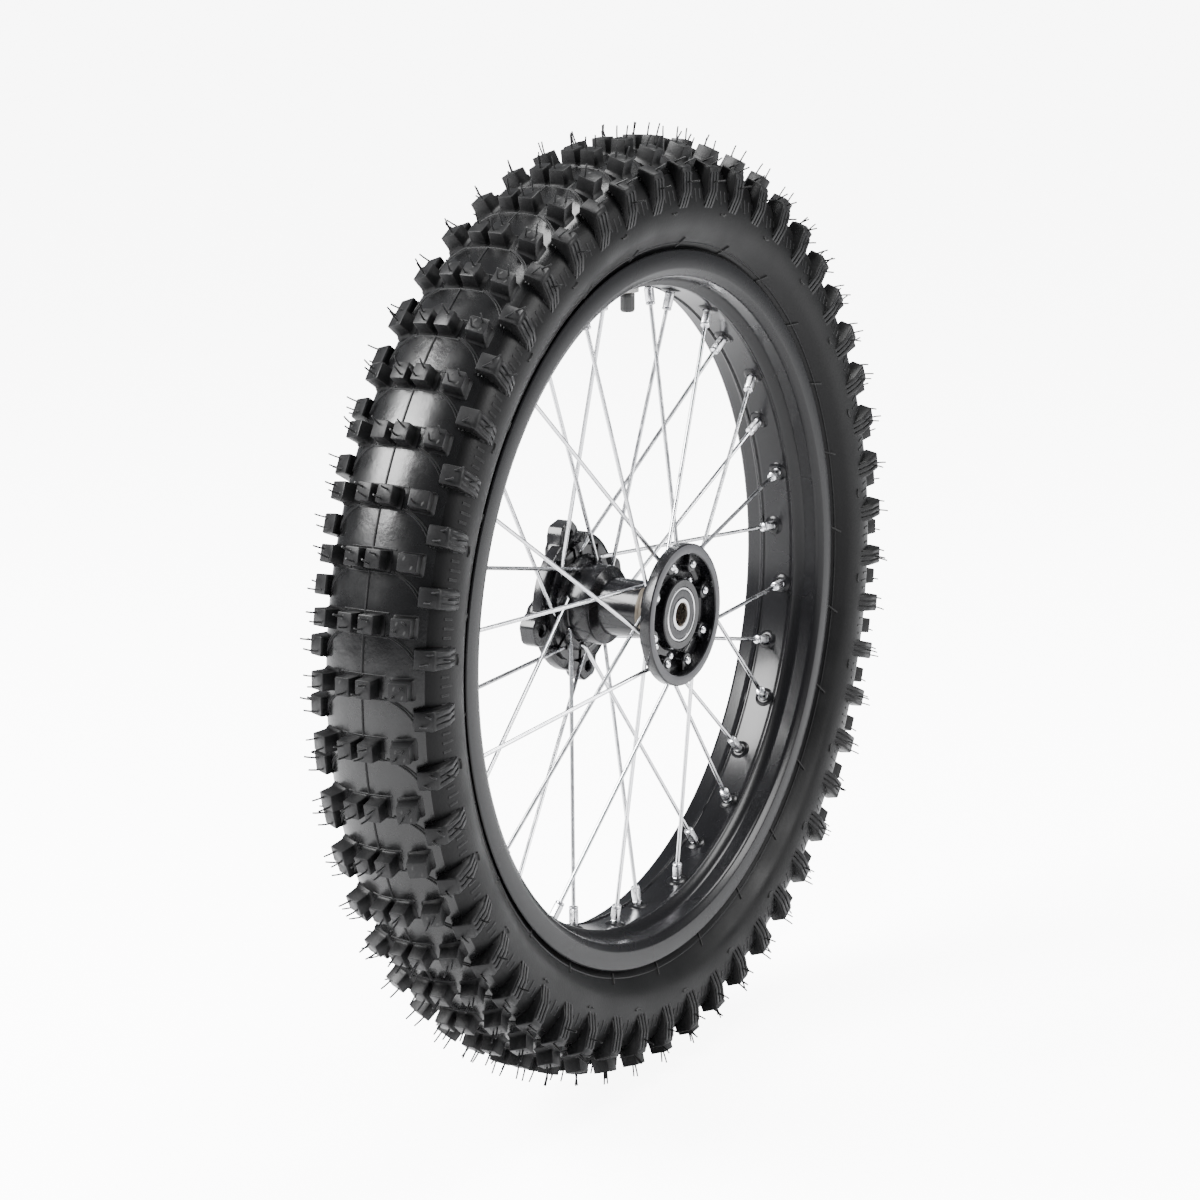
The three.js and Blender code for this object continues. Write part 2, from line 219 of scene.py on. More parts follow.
# The rim, hub, sidewall and tread finishes below paint faint highlights on their convex edges.
RIM_ENAMEL = Finish(
    "rim_enamel", "rim_black", (0.0025, 0.0025, 0.003), (0.0035, 0.0035, 0.0042), 0.27,
    roughness_spread=0.02, patch_scale=14.0, grain_height=0.00001, specular=0.2, coat=0.06,
    painted_edge_highlight=0.02,
)
HUB_GLOSS = Finish(
    "hub_gloss", "hub_black", (0.002, 0.002, 0.0025), (0.005, 0.005, 0.006), 0.24,
    roughness_spread=0.08, patch_scale=80.0, grain_scale=500.0, grain_height=0.00005,
    patch_height=0.0003, specular=0.25, coat=0.12, coat_roughness=0.1, painted_edge_highlight=0.04,
)
HUB_MACHINED = Finish(
    "hub_machined_black", "hub_black", (0.03, 0.03, 0.033), (0.045, 0.045, 0.05), 0.45,
    patch_scale=140.0, grain_scale=700.0, grain_height=0.00004,
)
HUB_BARE = Finish(
    "hub_bare_metal", "hub_black", (0.035, 0.029, 0.022), (0.1, 0.083, 0.062), 0.5,
    metallic=0.4, patch_scale=220.0, streak=(1.0, 6.0, 1.0),
)
SIDEWALL = Finish(
    "tyre_sidewall", "tyre_rubber", (0.002, 0.002, 0.0021), (0.0045, 0.0045, 0.0047), 0.4,
    roughness_spread=0.07, patch_scale=28.0, grain_scale=700.0, grain_height=0.00006,
    specular=0.12, painted_edge_highlight=0.03,
)
CROWN = Finish(
    "tyre_crown", "tyre_rubber", (0.002, 0.002, 0.0022), (0.004, 0.004, 0.0042), 0.26,
    roughness_spread=0.07, patch_scale=45.0, grain_scale=500.0, grain_height=0.00006,
    patch_height=0.0004, specular=0.34,
)
TREAD = Finish(
    "tyre_tread", "tyre_rubber", (0.0018, 0.0018, 0.0019), (0.005, 0.005, 0.0052), 0.42,
    roughness_spread=0.1, patch_scale=90.0, grain_scale=600.0, grain_height=0.00008,
    specular=0.14, painted_edge_highlight=0.05,
)
PIN_DARK = Finish(
    "tread_pin", "tyre_rubber", (0.003, 0.003, 0.003), (0.006, 0.006, 0.006), 0.7,
)
ZINC = Finish(
    "spoke_zinc", "spoke_steel", (0.62, 0.63, 0.65), (0.8, 0.8, 0.82), 0.24,
    metallic=1.0, patch_scale=150.0, grain_scale=1500.0, grain_height=0.00001,
)
NIPPLE_ZINC = Finish(
    "nipple_zinc", "spoke_steel", (0.55, 0.55, 0.57), (0.78, 0.78, 0.8), 0.28,
    metallic=1.0, patch_scale=260.0, grain_height=0.00002,
)
BRASS = Finish(
    "valve_brass", "brass", (0.5, 0.34, 0.13), (0.7, 0.52, 0.24), 0.3,
    metallic=1.0, patch_scale=300.0,
)
NICKEL = Finish(
    "nut_nickel", "brass", (0.5, 0.49, 0.47), (0.72, 0.71, 0.69), 0.3,
    metallic=1.0, patch_scale=300.0,
)
CAP_PLASTIC = Finish(
    "cap_plastic", "cap_plastic", (0.012, 0.012, 0.012), (0.02, 0.02, 0.02), 0.4,
    patch_scale=300.0,
)
RACE_STEEL = Finish(
    "bearing_race", "bearing_steel", (0.55, 0.55, 0.56), (0.74, 0.74, 0.75), 0.22,
    metallic=1.0, patch_scale=200.0, grain_height=0.00001,
)
BORE_STAIN = Finish(
    "bearing_bore_stained", "bearing_steel", (0.3, 0.27, 0.23), (0.6, 0.56, 0.51), 0.3,
    metallic=1.0, patch_scale=160.0, streak=(1.0, 4.0, 1.0),
)
SEAL = Finish(
    "bearing_seal", "seal_rubber", (0.014, 0.014, 0.016), (0.024, 0.024, 0.026), 0.5,
    patch_scale=400.0,
)
TUBE_RUBBER = Finish(
    "tube_rubber", "tube_rubber", (0.015, 0.015, 0.015), (0.025, 0.025, 0.025), 0.7,
)
SPACER_STEEL = Finish(
    "spacer_steel", "spacer_steel", (0.3, 0.25, 0.2), (0.45, 0.4, 0.35), 0.45,
    metallic=1.0, streak=(1.0, 5.0, 1.0),
)
CAGE_STEEL = Finish(
    "cage_steel", "cage_steel", (0.5, 0.5, 0.52), (0.7, 0.7, 0.72), 0.3, metallic=1.0,
)


# Mesh building


def polar(radius: float, degrees: float, y: float) -> Vector:
    """Point at a radius and angle in the wheel's plane and a distance along the axle."""
    angle = math.radians(degrees)
    return Vector((radius * math.cos(angle), y, radius * math.sin(angle)))


def mirrored(half: Outline) -> Outline:
    """Closes an outline given for y >= 0, first and last point on y = 0, over both sides."""
    return half + [(r, -y) for r, y in half[-2:0:-1]]


def smoothed(points: Outline, steps: int) -> Outline:
    """Runs a Catmull-Rom curve through points.

    Args:
        points: Points that the curve passes through.
        steps: Pieces between each two points.

    Returns:
        The curve's points, ends included.
    """
    ends = [points[0], *points, points[-1]]
    curve = []
    for i in range(len(points) - 1):
        p0, p1, p2, p3 = (Vector(p) for p in ends[i:i + 4])
        for k in range(steps):
            t = k / steps
            curve.append(tuple(0.5 * (
                2 * p1 + (p2 - p0) * t + (2 * p0 - 5 * p1 + 4 * p2 - p3) * t * t
                + (3 * p1 - p0 - 3 * p2 + p3) * t ** 3
            )))
    curve.append(points[-1])
    return curve


class Draft:
    """A mesh in the making, in millimetres."""

    def __init__(self) -> None:
        """Starts with nothing."""
        self.points: List[Vector] = []
        self.faces: List[Tuple[int, ...]] = []

    def loft(self, loops: Sequence[Loop], ring: bool = False) -> "Draft":
        """Joins equal closed loops into a solid.

        Args:
            loops: Loops with the same number of points.
            ring: True joins the last loop to the first; otherwise both ends are capped.

        Returns:
            This draft.
        """
        start = len(self.points)
        size = len(loops[0])
        for loop in loops:
            self.points.extend(loop)
        count = len(loops)
        for i in range(count if ring else count - 1):
            a = start + i * size
            b = start + ((i + 1) % count) * size
            for k in range(size):
                n = (k + 1) % size
                self.faces.append((a + k, a + n, b + n, b + k))
        if not ring:
            last = start + (count - 1) * size
            self.faces.append(tuple(range(start + size - 1, start - 1, -1)))
            self.faces.append(tuple(range(last, last + size)))
        return self

    def revolve(self, outline: Outline, steps: int) -> "Draft":
        """Revolves a closed outline of (radius, y) points about the axle."""
        loops = [
            [polar(r, 360.0 * i / steps, y) for r, y in outline] for i in range(steps)
        ]
        return self.loft(loops, ring=True)

    def turned(self, outline: Outline, place: Matrix, steps: int) -> "Draft":
        """Adds a turned solid from (distance, radius) stations along a matrix's X axis.

        Args:
            outline: Stations of the solid.
            place: Matrix whose X axis is the solid's axis.
            steps: Sides of the solid.

        Returns:
            This draft.
        """
        loops = []
        for distance, radius in outline:
            loop = []
            for k in range(steps):
                angle = 2 * math.pi * k / steps
                corner = Vector((distance, radius * math.cos(angle), radius * math.sin(angle)))
                loop.append(place @ corner)
            loops.append(loop)
        return self.loft(loops)

    def add(self, other: "Draft", place: Matrix) -> "Draft":
        """Adds another draft, moved by a matrix.

        Args:
            other: The draft to add.
            place: Matrix that moves it.

        Returns:
            This draft.
        """
        start = len(self.points)
        self.points.extend(place @ point for point in other.points)
        self.faces.extend(tuple(start + k for k in face) for face in other.faces)
        return self

    def piece(self, name: str, finish: Finish, sharp: float = 35.0) -> bpy.types.Object:
        """Writes the draft as a mesh object in metres.

        Args:
            name: The object's name.
            finish: The finish that it wears.
            sharp: Edges bent by more degrees than this stay sharp.

        Returns:
            The new object, at the origin.
        """
        mesh = bpy.data.meshes.new(name)
        mesh.from_pydata([point * MM for point in self.points], [], self.faces)
        clean(mesh, sharp)
        mesh.materials.append(finish.material())
        thing = bpy.data.objects.new(name, mesh)
        bpy.context.scene.collection.objects.link(thing)
        return thing


def clean(mesh: bpy.types.Mesh, sharp: float) -> None:
    """Merges doubles, points faces outwards and shades smooth up to an angle.

    Args:
        mesh: The mesh to clean.
        sharp: Edges bent by more degrees than this stay sharp.
    """
    work = bmesh.new()
    work.from_mesh(mesh)
    bmesh.ops.remove_doubles(work, verts=work.verts, dist=1e-7)
    bmesh.ops.dissolve_degenerate(work, edges=work.edges, dist=1e-8)
    bmesh.ops.recalc_face_normals(work, faces=work.faces)
    work.to_mesh(mesh)
    work.free()
    mesh.polygons.foreach_set("use_smooth", [True] * len(mesh.polygons))
    mesh.set_sharp_from_angle(angle=math.radians(sharp))


def facing(origin: Vector, along: Vector, side: Vector) -> Matrix:
    """Matrix with X along a direction and Y as near as possible to a side direction.

    Args:
        origin: Where the matrix's origin lies.
        along: Direction of its X axis.
        side: Direction that its Y axis leans to.

    Returns:
        The matrix.
    """
    x = along.normalized()
    y = (side - side.dot(x) * x).normalized()
    z = x.cross(y)
    return Matrix.Translation(origin) @ Matrix((x, y, z)).transposed().to_4x4()


def swept(path: Sequence[Tuple[Vector, float]], sides: int) -> Draft:
    """Sweeps a circle of changing radius along a path.

    Args:
        path: (point, radius) stations of the path.
        sides: Sides of the circle.

    Returns:
        The swept solid.
    """
    loops = []
    side = Vector((0.3, 1.0, 0.2))
    for i, (point, radius) in enumerate(path):
        before = path[max(i - 1, 0)][0]
        after = path[min(i + 1, len(path) - 1)][0]
        place = facing(point, after - before, side)
        side = place.to_3x3() @ Vector((0, 1, 0))
        loop = []
        for k in range(sides):
            angle = 2 * math.pi * k / sides
            spot = Vector((0, radius * math.cos(angle), radius * math.sin(angle)))
            loop.append(place @ spot)
        loops.append(loop)
    return Draft().loft(loops)


def rounded_loop(half_a: float, half_b: float, corner: float, steps: int) -> Outline:
    """Rectangle with round corners about the origin.

    Args:
        half_a: Half size along the first axis.
        half_b: Half size along the second axis.
        corner: Corner radius.
        steps: Pieces in each corner's arc.

    Returns:
        Points of the outline.
    """
    outline = []
    for quarter in range(4):
        for k in range(steps + 1):
            angle = math.pi / 2 * (quarter + k / steps)
            sign_a = 1 if quarter in (0, 3) else -1
            sign_b = 1 if quarter in (0, 1) else -1
            outline.append((
                sign_a * (half_a - corner) + corner * math.cos(angle),
                sign_b * (half_b - corner) + corner * math.sin(angle),
            ))
    return outline


def settle(
    piece: bpy.types.Object, body: Body, nodes: Sequence[str] = ()
) -> bpy.types.Object:
    """Declares a finished piece to the frame and reports it.

    Args:
        piece: The finished object.
        body: The body that it rides on.
        nodes: CAD nodes that it stands for.

    Returns:
        The same object.
    """
    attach(piece, body.value)
    if nodes:
        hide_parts(*nodes)
    LOG.info("%s: %d faces on %s", piece.name, len(piece.data.polygons), body.value)
    return piece


# Geometry Nodes


class RingTree:
    """Geometry Nodes tree that repeats its input geometry round the axle."""

    SIZES = (
        ("Count", "NodeSocketInt", 8),
        ("Start", "NodeSocketFloat", 0.0),
        ("Radius", "NodeSocketFloat", 0.0),
        ("Offset", "NodeSocketFloat", 0.0),
        ("Tilt", "NodeSocketFloat", 0.0),
        ("Kept Share", "NodeSocketFloat", 1.0),
        ("Seed", "NodeSocketInt", 0),
    )

    def __init__(self) -> None:
        """Builds the tree."""
        self.tree = bpy.data.node_groups.new("ring_of_copies", "GeometryNodeTree")
        self.keys: Dict[str, str] = {}
        self._socket("Geometry", "NodeSocketGeometry", None)
        for name, kind, value in self.SIZES:
            self._socket(name, kind, value)
        self._socket("Finish", "NodeSocketMaterial", None)
        self.tree.interface.new_socket(
            name="Geometry", in_out="OUTPUT", socket_type="NodeSocketGeometry"
        )
        self._wire()

    def _socket(self, name: str, kind: str, value: Optional[float]) -> None:
        """Adds a named input and keeps its identifier.

        Args:
            name: The input's name.
            kind: Its socket type.
            value: Its default value, or None where it has none.
        """
        socket = self.tree.interface.new_socket(name=name, in_out="INPUT", socket_type=kind)
        if value is not None:
            socket.default_value = value
        self.keys[name] = socket.identifier

    def _math(self, operation: str, first: object, second: object) -> bpy.types.NodeSocket:
        """Adds a math node on two sockets or numbers.

        Args:
            operation: The node's operation.
            first: First socket or number.
            second: Second socket or number.

        Returns:
            The node's output.
        """
        node = self.tree.nodes.new("ShaderNodeMath")
        node.operation = operation
        for slot, value in zip(node.inputs, (first, second)):
            if isinstance(value, bpy.types.NodeSocket):
                self.tree.links.new(value, slot)
            else:
                slot.default_value = value
        return node.outputs[0]

    def _wire(self) -> None:
        """Connects points, instances, random tilt and gaps, then realises the copies."""
        nodes = self.tree.nodes
        links = self.tree.links
        given = nodes.new("NodeGroupInput")
        index = nodes.new("GeometryNodeInputIndex")
        step = self._math("DIVIDE", 2 * math.pi, given.outputs["Count"])
        turned = self._math("MULTIPLY", index.outputs[0], step)
        angle = self._math("ADD", turned, given.outputs["Start"])
        across = self._math("MULTIPLY", self._math("COSINE", angle, 0.0), given.outputs["Radius"])
        upward = self._math("MULTIPLY", self._math("SINE", angle, 0.0), given.outputs["Radius"])
        position = nodes.new("ShaderNodeCombineXYZ")
        links.new(across, position.inputs["X"])
        links.new(given.outputs["Offset"], position.inputs["Y"])
        links.new(upward, position.inputs["Z"])
        points = nodes.new("GeometryNodePoints")
        links.new(given.outputs["Count"], points.inputs["Count"])
        links.new(position.outputs[0], points.inputs["Position"])
        heading = nodes.new("ShaderNodeCombineXYZ")
        links.new(self._math("MULTIPLY", angle, -1.0), heading.inputs["Y"])
        copies = nodes.new("GeometryNodeInstanceOnPoints")
        links.new(points.outputs[0], copies.inputs["Points"])
        links.new(given.outputs["Geometry"], copies.inputs["Instance"])
        links.new(heading.outputs[0], copies.inputs["Rotation"])
        lean = nodes.new("FunctionNodeRandomValue")
        lean.data_type = "FLOAT_VECTOR"
        limit = nodes.new("ShaderNodeCombineXYZ")
        lower = nodes.new("ShaderNodeCombineXYZ")
        below = self._math("MULTIPLY", given.outputs["Tilt"], -1.0)
        for axis in ("X", "Y", "Z"):
            links.new(given.outputs["Tilt"], limit.inputs[axis])
            links.new(below, lower.inputs[axis])
        links.new(lower.outputs[0], lean.inputs["Min"])
        links.new(limit.outputs[0], lean.inputs["Max"])
        links.new(given.outputs["Seed"], lean.inputs["Seed"])
        tilted = nodes.new("GeometryNodeRotateInstances")
        links.new(copies.outputs[0], tilted.inputs["Instances"])
        links.new(lean.outputs[0], tilted.inputs["Rotation"])
        chance = nodes.new("FunctionNodeRandomValue")
        chance.data_type = "FLOAT"
        links.new(self._math("ADD", given.outputs["Seed"], 7.0), chance.inputs["Seed"])
        gone = nodes.new("FunctionNodeCompare")
        gone.operation = "GREATER_THAN"
        links.new(chance.outputs[1], gone.inputs["A"])
        links.new(given.outputs["Kept Share"], gone.inputs["B"])
        thinned = nodes.new("GeometryNodeDeleteGeometry")
        thinned.domain = "INSTANCE"
        links.new(tilted.outputs[0], thinned.inputs["Geometry"])
        links.new(gone.outputs[0], thinned.inputs["Selection"])
        real = nodes.new("GeometryNodeRealizeInstances")
        links.new(thinned.outputs[0], real.inputs[0])
        dressed = nodes.new("GeometryNodeSetMaterial")
        links.new(real.outputs[0], dressed.inputs["Geometry"])
        links.new(given.outputs["Finish"], dressed.inputs["Material"])
        result = nodes.new("NodeGroupOutput")
        links.new(dressed.outputs[0], result.inputs[0])

    def repeat(
        self, piece: bpy.types.Object, finish: Finish, **sizes: float
    ) -> bpy.types.Object:
        """Repeats a piece round the axle and turns the result into a plain mesh.

        Args:
            piece: The piece to repeat, at angle 0.
            finish: The finish of the copies.
            **sizes: Values for the tree's inputs, spaces in names as underscores.

        Returns:
            The same object, holding all copies.
        """
        modifier = piece.modifiers.new("ring", "NODES")
        modifier.node_group = self.tree
        for name, value in sizes.items():
            modifier[self.keys[name.replace("_", " ")]] = value
        modifier[self.keys["Finish"]] = finish.material()
        graph = bpy.context.evaluated_depsgraph_get()
        mesh = bpy.data.meshes.new_from_object(piece.evaluated_get(graph))
        piece.modifiers.clear()
        mesh.name = piece.name
        piece.data = mesh
        return piece


# Rim


@dataclass
class Rim:
    """Steel rim with a dropped centre, side flanges and a boss at each nipple."""

    rings: RingTree
    lacing: "Lacing"
    lip_radius: float = 229.5
    half_width: float = 30.0
    seat_radius: float = 216.5
    shelf_radius: float = 212.3
    channel_radius: float = 206.5
    well_radius: float = 210.0
    boss_radius: float = 6.9
    boss_height: float = 1.5
    steps: int = 240

    def outline(self) -> Outline:
        """Closed section of the rolled rim.

        Returns:
            (radius, y) points over both sides.
        """
        width = self.half_width
        seat = self.seat_radius
        shelf = self.shelf_radius
        channel = self.channel_radius
        half = [
            (self.well_radius, 0.0), (self.well_radius, 9.0), (self.well_radius + 1.6, 11.6),
            (seat - 1.2, 15.2), (seat - 0.3, 17.2), (seat, 24.6), (seat + 0.5, 26.2),
            (seat + 1.8, 27.0), (self.lip_radius - 1.4, 27.3), (self.lip_radius - 0.4, 27.8),
            (self.lip_radius, 28.6), (self.lip_radius - 0.1, 29.4),
            (self.lip_radius - 0.7, width - 0.1), (self.lip_radius - 1.5, width),
            (seat + 1.6, width), (seat + 0.5, width - 0.3), (seat - 0.6, width - 1.1),
            (shelf + 1.4, width - 2.0), (shelf + 0.5, width - 2.9), (shelf, width - 4.4),
            (shelf, 18.2), (shelf - 0.3, 17.2), (shelf - 1.0, 16.2), (channel + 2.0, 13.4),
            (channel + 0.6, 12.8), (channel - 0.3, 12.4), (channel - 0.5, 11.9),
            (channel - 0.2, 11.4), (channel + 0.5, 11.0), (channel + 0.5, 10.4),
            (channel + 0.1, 9.4), (channel, 8.4), (channel, 0.0),
        ]
        return mirrored(half)

    def boss(self, side: Side) -> Draft:
        """Raised seat round one nipple, at angle 0.

        Args:
            side: Side of the wheel.

        Returns:
            The boss.
        """
        r = self.boss_radius
        h = self.boss_height
        stations = [
            (-0.6, r), (0.05, r - 0.1), (0.35 * h, r - 0.8), (0.75 * h, r - 1.9),
            (h, r - 3.0), (0.93 * h, r - 3.5), (0.5 * h, 3.15), (0.3 * h, 0.4),
        ]
        y = side.value * self.lacing.rim_offset
        place = facing(Vector((self.channel_radius, y, 0)), Vector((-1, 0, 0)), Vector((0, 1, 0)))
        return Draft().turned(stations, place, 28)

    def build(self) -> None:
        """Builds the rolled ring and the bosses."""
        ring = Draft().revolve(self.outline(), self.steps).piece("rim_ring", RIM_ENAMEL, 30.0)
        settle(ring, Body.WHEEL, ["rim"])
        for side in Side:
            name = f"rim_bosses_{side.name.lower()}"
            bosses = self.boss(side).piece(name, RIM_ENAMEL, 50.0)
            start = math.radians(self.lacing.rim_angle(0 if side is Side.FAR else 1))
            self.rings.repeat(bosses, RIM_ENAMEL, Count=self.lacing.count // 2, Start=start)
            settle(bosses, Body.WHEEL)


# Spokes


@dataclass
class Lacing:
    """Crossed spokes from both flanges to the rim, with heads, bends and nipples."""

    count: int = 32
    wire_radius: float = 1.35
    head_radius: float = 2.75
    rim_radius: float = 206.5
    rim_offset: float = 3.3
    first_rim_hole: float = 73.125
    shift: float = 45.0
    bend_radius: float = 3.2
    nipple_length: float = 13.4
    nipple_half: float = 2.55
    wire_sides: int = 12
    inner_hole: Tuple[float, float, float] = (27.5, 33.5, 29.0)
    outer_hole: Tuple[float, float, float] = (33.5, 39.0, 35.5)

    def rim_angle(self, index: int) -> float:
        """Angle of a spoke's hole in the rim."""
        return self.first_rim_hole + index * 360.0 / self.count

    def hole(self, index: int) -> Tuple[Side, float, Tuple[float, float, float]]:
        """Side, angle and (radius, head seat, exit) of a spoke's hole in the hub.

        Args:
            index: The spoke's number, from 0.

        Returns:
            The side, the angle in degrees and the three sizes.
        """
        side = Side.FAR if index % 2 == 0 else Side.NEAR
        even = (index // 2) % 2 == 0
        angle = self.rim_angle(index) + (-self.shift if even else self.shift)
        return side, angle, self.inner_hole if even else self.outer_hole

    def ends(self, index: int) -> Tuple[Vector, Vector, Vector]:
        """Head seat, corner of the bend and rim point of a spoke.

        Args:
            index: The spoke's number, from 0.

        Returns:
            The three points.
        """
        side, angle, (radius, seat, leave) = self.hole(index)
        head = polar(radius, angle, side.value * seat)
        corner = polar(radius, angle, side.value * (leave - self.wire_radius - 0.35))
        tip = polar(self.rim_radius, self.rim_angle(index), side.value * self.rim_offset)
        return head, corner, tip

    def wire(self, index: int) -> Draft:
        """Spoke with its button head and rounded bend.

        Args:
            index: The spoke's number, from 0.

        Returns:
            The spoke in its place.
        """
        head, corner, tip = self.ends(index)
        inward = (corner - head).normalized()
        along = (tip - corner).normalized()
        reach = self.bend_radius * 0.8
        path: List[Tuple[Vector, float]] = []
        button = ((-1.9, 0.9), (-1.8, 1.5), (-1.45, 2.2), (-0.9, 2.6), (-0.35, 2.75), (-0.1, 2.5))
        for distance, radius in button:
            path.append((head + inward * distance, radius * self.head_radius / 2.75))
        path.append((head - inward * 0.05, self.wire_radius))
        path.append((corner - inward * reach, self.wire_radius))
        for k in range(1, 6):
            t = k / 6
            start = corner - inward * reach
            end = corner + along * reach
            point = start * (1 - t) ** 2 + corner * (2 * t * (1 - t)) + end * t * t
            path.append((point, self.wire_radius))
        path.append((corner + along * reach, self.wire_radius))
        path.append((tip - along * 4.0, self.wire_radius))
        return swept(path, self.wire_sides)

    def nipple(self, index: int) -> Draft:
        """Nipple with wrench flats, a round root in the rim and a collar at the spoke.

        Args:
            index: The spoke's number, from 0.

        Returns:
            The nipple in its place.
        """
        _, corner, tip = self.ends(index)
        along = (tip - corner).normalized()
        place = facing(tip, -along, Vector((0, 1, 0)))
        length = self.nipple_length
        half = self.nipple_half
        stations = [
            (-1.2, half, half), (1.4, half, half), (2.0, half + 0.35, half + 0.3),
            (2.6, half + 0.35, half + 0.3), (3.0, half, 1.1), (length - 2.6, half, 1.1),
            (length - 2.2, half + 0.1, half), (length - 1.7, half + 0.5, half + 0.4),
            (length - 0.7, half + 0.5, half + 0.4), (length - 0.2, half, half - 0.1),
            (length, half - 0.6, half - 0.7),
        ]
        loops = []
        for distance, size, corner_radius in stations:
            section = rounded_loop(size, size, min(corner_radius, size - 0.02), 4)
            loops.append([place @ Vector((distance, a, b)) for a, b in section])
        return Draft().loft(loops)

    def build(self) -> None:
        """Builds every spoke and nipple as pieces of their own."""
        for index in range(self.count):
            number = f"{index + 1:02d}"
            wire = self.wire(index).piece(f"spoke_wire_{number}", ZINC, 40.0)
            settle(wire, Body.WHEEL, [f"spoke_{number}"])
            nipple = self.nipple(index).piece(f"spoke_nipple_{number}", NIPPLE_ZINC, 30.0)
            settle(nipple, Body.WHEEL)


# Tyre


@dataclass
class Tyre:
    """Knobby tyre: carcass, three kinds of blocks, ribs, pins and vent whiskers."""

    rings: RingTree
    pitches: int = 51
    start: float = 86.470588
    crown_radius: float = 289.5
    block_height: float = 10.0
    centre_foot: Tuple[float, float] = (289.2, 6.6)
    centre_lean: float = 3.0
    centre_half: Tuple[float, float] = (5.1, 5.5)
    middle_foot: Tuple[float, float] = (285.2, 24.2)
    middle_lean: float = 20.0
    middle_half: Tuple[float, float] = (5.9, 5.3)
    shoulder_half: float = 5.8
    flute_half: float = 1.25
    flute_gap: float = 3.6
    gloss_radius: float = 277.0
    arc_width: float = 14.0
    arc_edge: float = 5.6
    arc_points: Outline = field(default_factory=lambda: [
        (0.0, 0.0), (6.5, 3.2), (12.4, 7.85), (17.1, 14.0), (19.8, 19.0),
    ])
    line_width: float = 84.5
    tick_count: int = 26
    whisker_tilt: float = 0.12
    whisker_share: float = 0.88
    whisker_length: float = 8.2
    whisker_radius: float = 0.6
    whisker_sides: int = 6
    steps: int = 306
    outer: Outline = field(default_factory=lambda: [
        (289.5, 0.0), (289.0, 8.0), (287.4, 16.5), (284.3, 25.0), (279.4, 32.0), (272.0, 37.0),
        (262.5, 39.4), (253.0, 39.4), (244.0, 37.2), (236.5, 32.4), (232.0, 28.6), (230.0, 27.0),
        (226.0, 26.4), (219.0, 26.0),
    ])
    inner: Outline = field(default_factory=lambda: [
        (217.5, 24.6), (217.4, 19.0), (221.0, 18.2), (230.0, 22.0), (240.0, 29.4), (255.0, 34.4),
        (268.0, 32.6), (278.0, 25.0), (282.8, 12.0), (283.6, 0.0),
    ])

    def __post_init__(self) -> None:
        """Works out the outer curve that tread details stand on."""
        self.curve = smoothed(self.outer, 6)

    @property
    def pitch(self) -> float:
        """Angle between two rows of blocks, in degrees."""
        return 360.0 / self.pitches

    def surface(self, width: float, degrees: float, side: Side, lift: float) -> Vector:
        """Point on the carcass.

        Args:
            width: Distance from the centre line, measured along the surface.
            degrees: Angle from the row of blocks.
            side: Side of the wheel.
            lift: Height above the surface.

        Returns:
            The point, in millimetres.
        """
        left = width
        for (r0, y0), (r1, y1) in zip(self.curve, self.curve[1:]):
            length = math.hypot(r1 - r0, y1 - y0)
            if left <= length or (r1, y1) == self.curve[-1]:
                t = left / length
                normal = ((y1 - y0) / length, (r0 - r1) / length)
                r = r0 + (r1 - r0) * t + normal[0] * lift
                y = y0 + (y1 - y0) * t + normal[1] * lift
                return polar(r, degrees, side.value * y)
            left -= length
        return polar(self.crown_radius, degrees, 0.0)

    def block(
        self, centre: Tuple[float, float], lean: float, half: Tuple[float, float], side: Side
    ) -> Draft:
        """Rubber block with a flared foot and rounded edges.

        Args:
            centre: (radius, y) of the middle of its foot.
            lean: Degrees that it leans away from the radius.
            half: Half sizes across and along the tread.
            side: Side of the wheel.

        Returns:
            The block at angle 0.
        """
        angle = math.radians(lean) * side.value
        along = Vector((math.cos(angle), math.sin(angle), 0))
        origin = Vector((centre[0], side.value * centre[1], 0))
        place = facing(origin, along, Vector((0, 1, 0)))
        top = self.block_height
        levels = (
            (-2.0, 1.7), (0.0, 1.1), (0.7, 0.5), (1.6, 0.2), (3.0, 0.08), (top - 0.5, -0.15),
            (top - 0.15, -0.25), (top, -0.55),
        )
        loops = []
        for height, grow in levels:
            section = rounded_loop(half[0] + grow, half[1] + grow, max(0.9 + grow * 0.6, 0.35), 2)
            loops.append([place @ Vector((height, a, b)) for a, b in section])
        return Draft().loft(loops)

    def centre_block(self, side: Side) -> Draft:
        """Block beside the centre groove."""
        return self.block(self.centre_foot, self.centre_lean, self.centre_half, side)

    def middle_block(self, side: Side) -> Draft:
        """Block between the centre and the shoulder."""
        return self.block(self.middle_foot, self.middle_lean, self.middle_half, side)

    def prism(self, section: Outline, half: float, edge: float, side: Side) -> Draft:
        """Solid with a constant section across the tread and rounded ends along it.

        Args:
            section: (radius, y) points of the section.
            half: Half length along the tread.
            edge: Size of the rounding at both ends.
            side: Side of the wheel.

        Returns:
            The solid at angle 0.
        """
        middle = Vector((sum(r for r, _ in section), sum(y for _, y in section))) / len(section)
        loops = []
        ends = ((-half, 1.0), (-half + 0.3 * edge, 0.45), (-half + edge, 0.0))
        for z, inset in ends + tuple((-z, inset) for z, inset in reversed(ends)):
            loop = []
            for r, y in section:
                inward = (middle - Vector((r, y))).normalized() * inset * edge
                loop.append(Vector((r + inward.x, side.value * (y + inward.y), z)))
            loops.append(loop)
        return Draft().loft(loops)

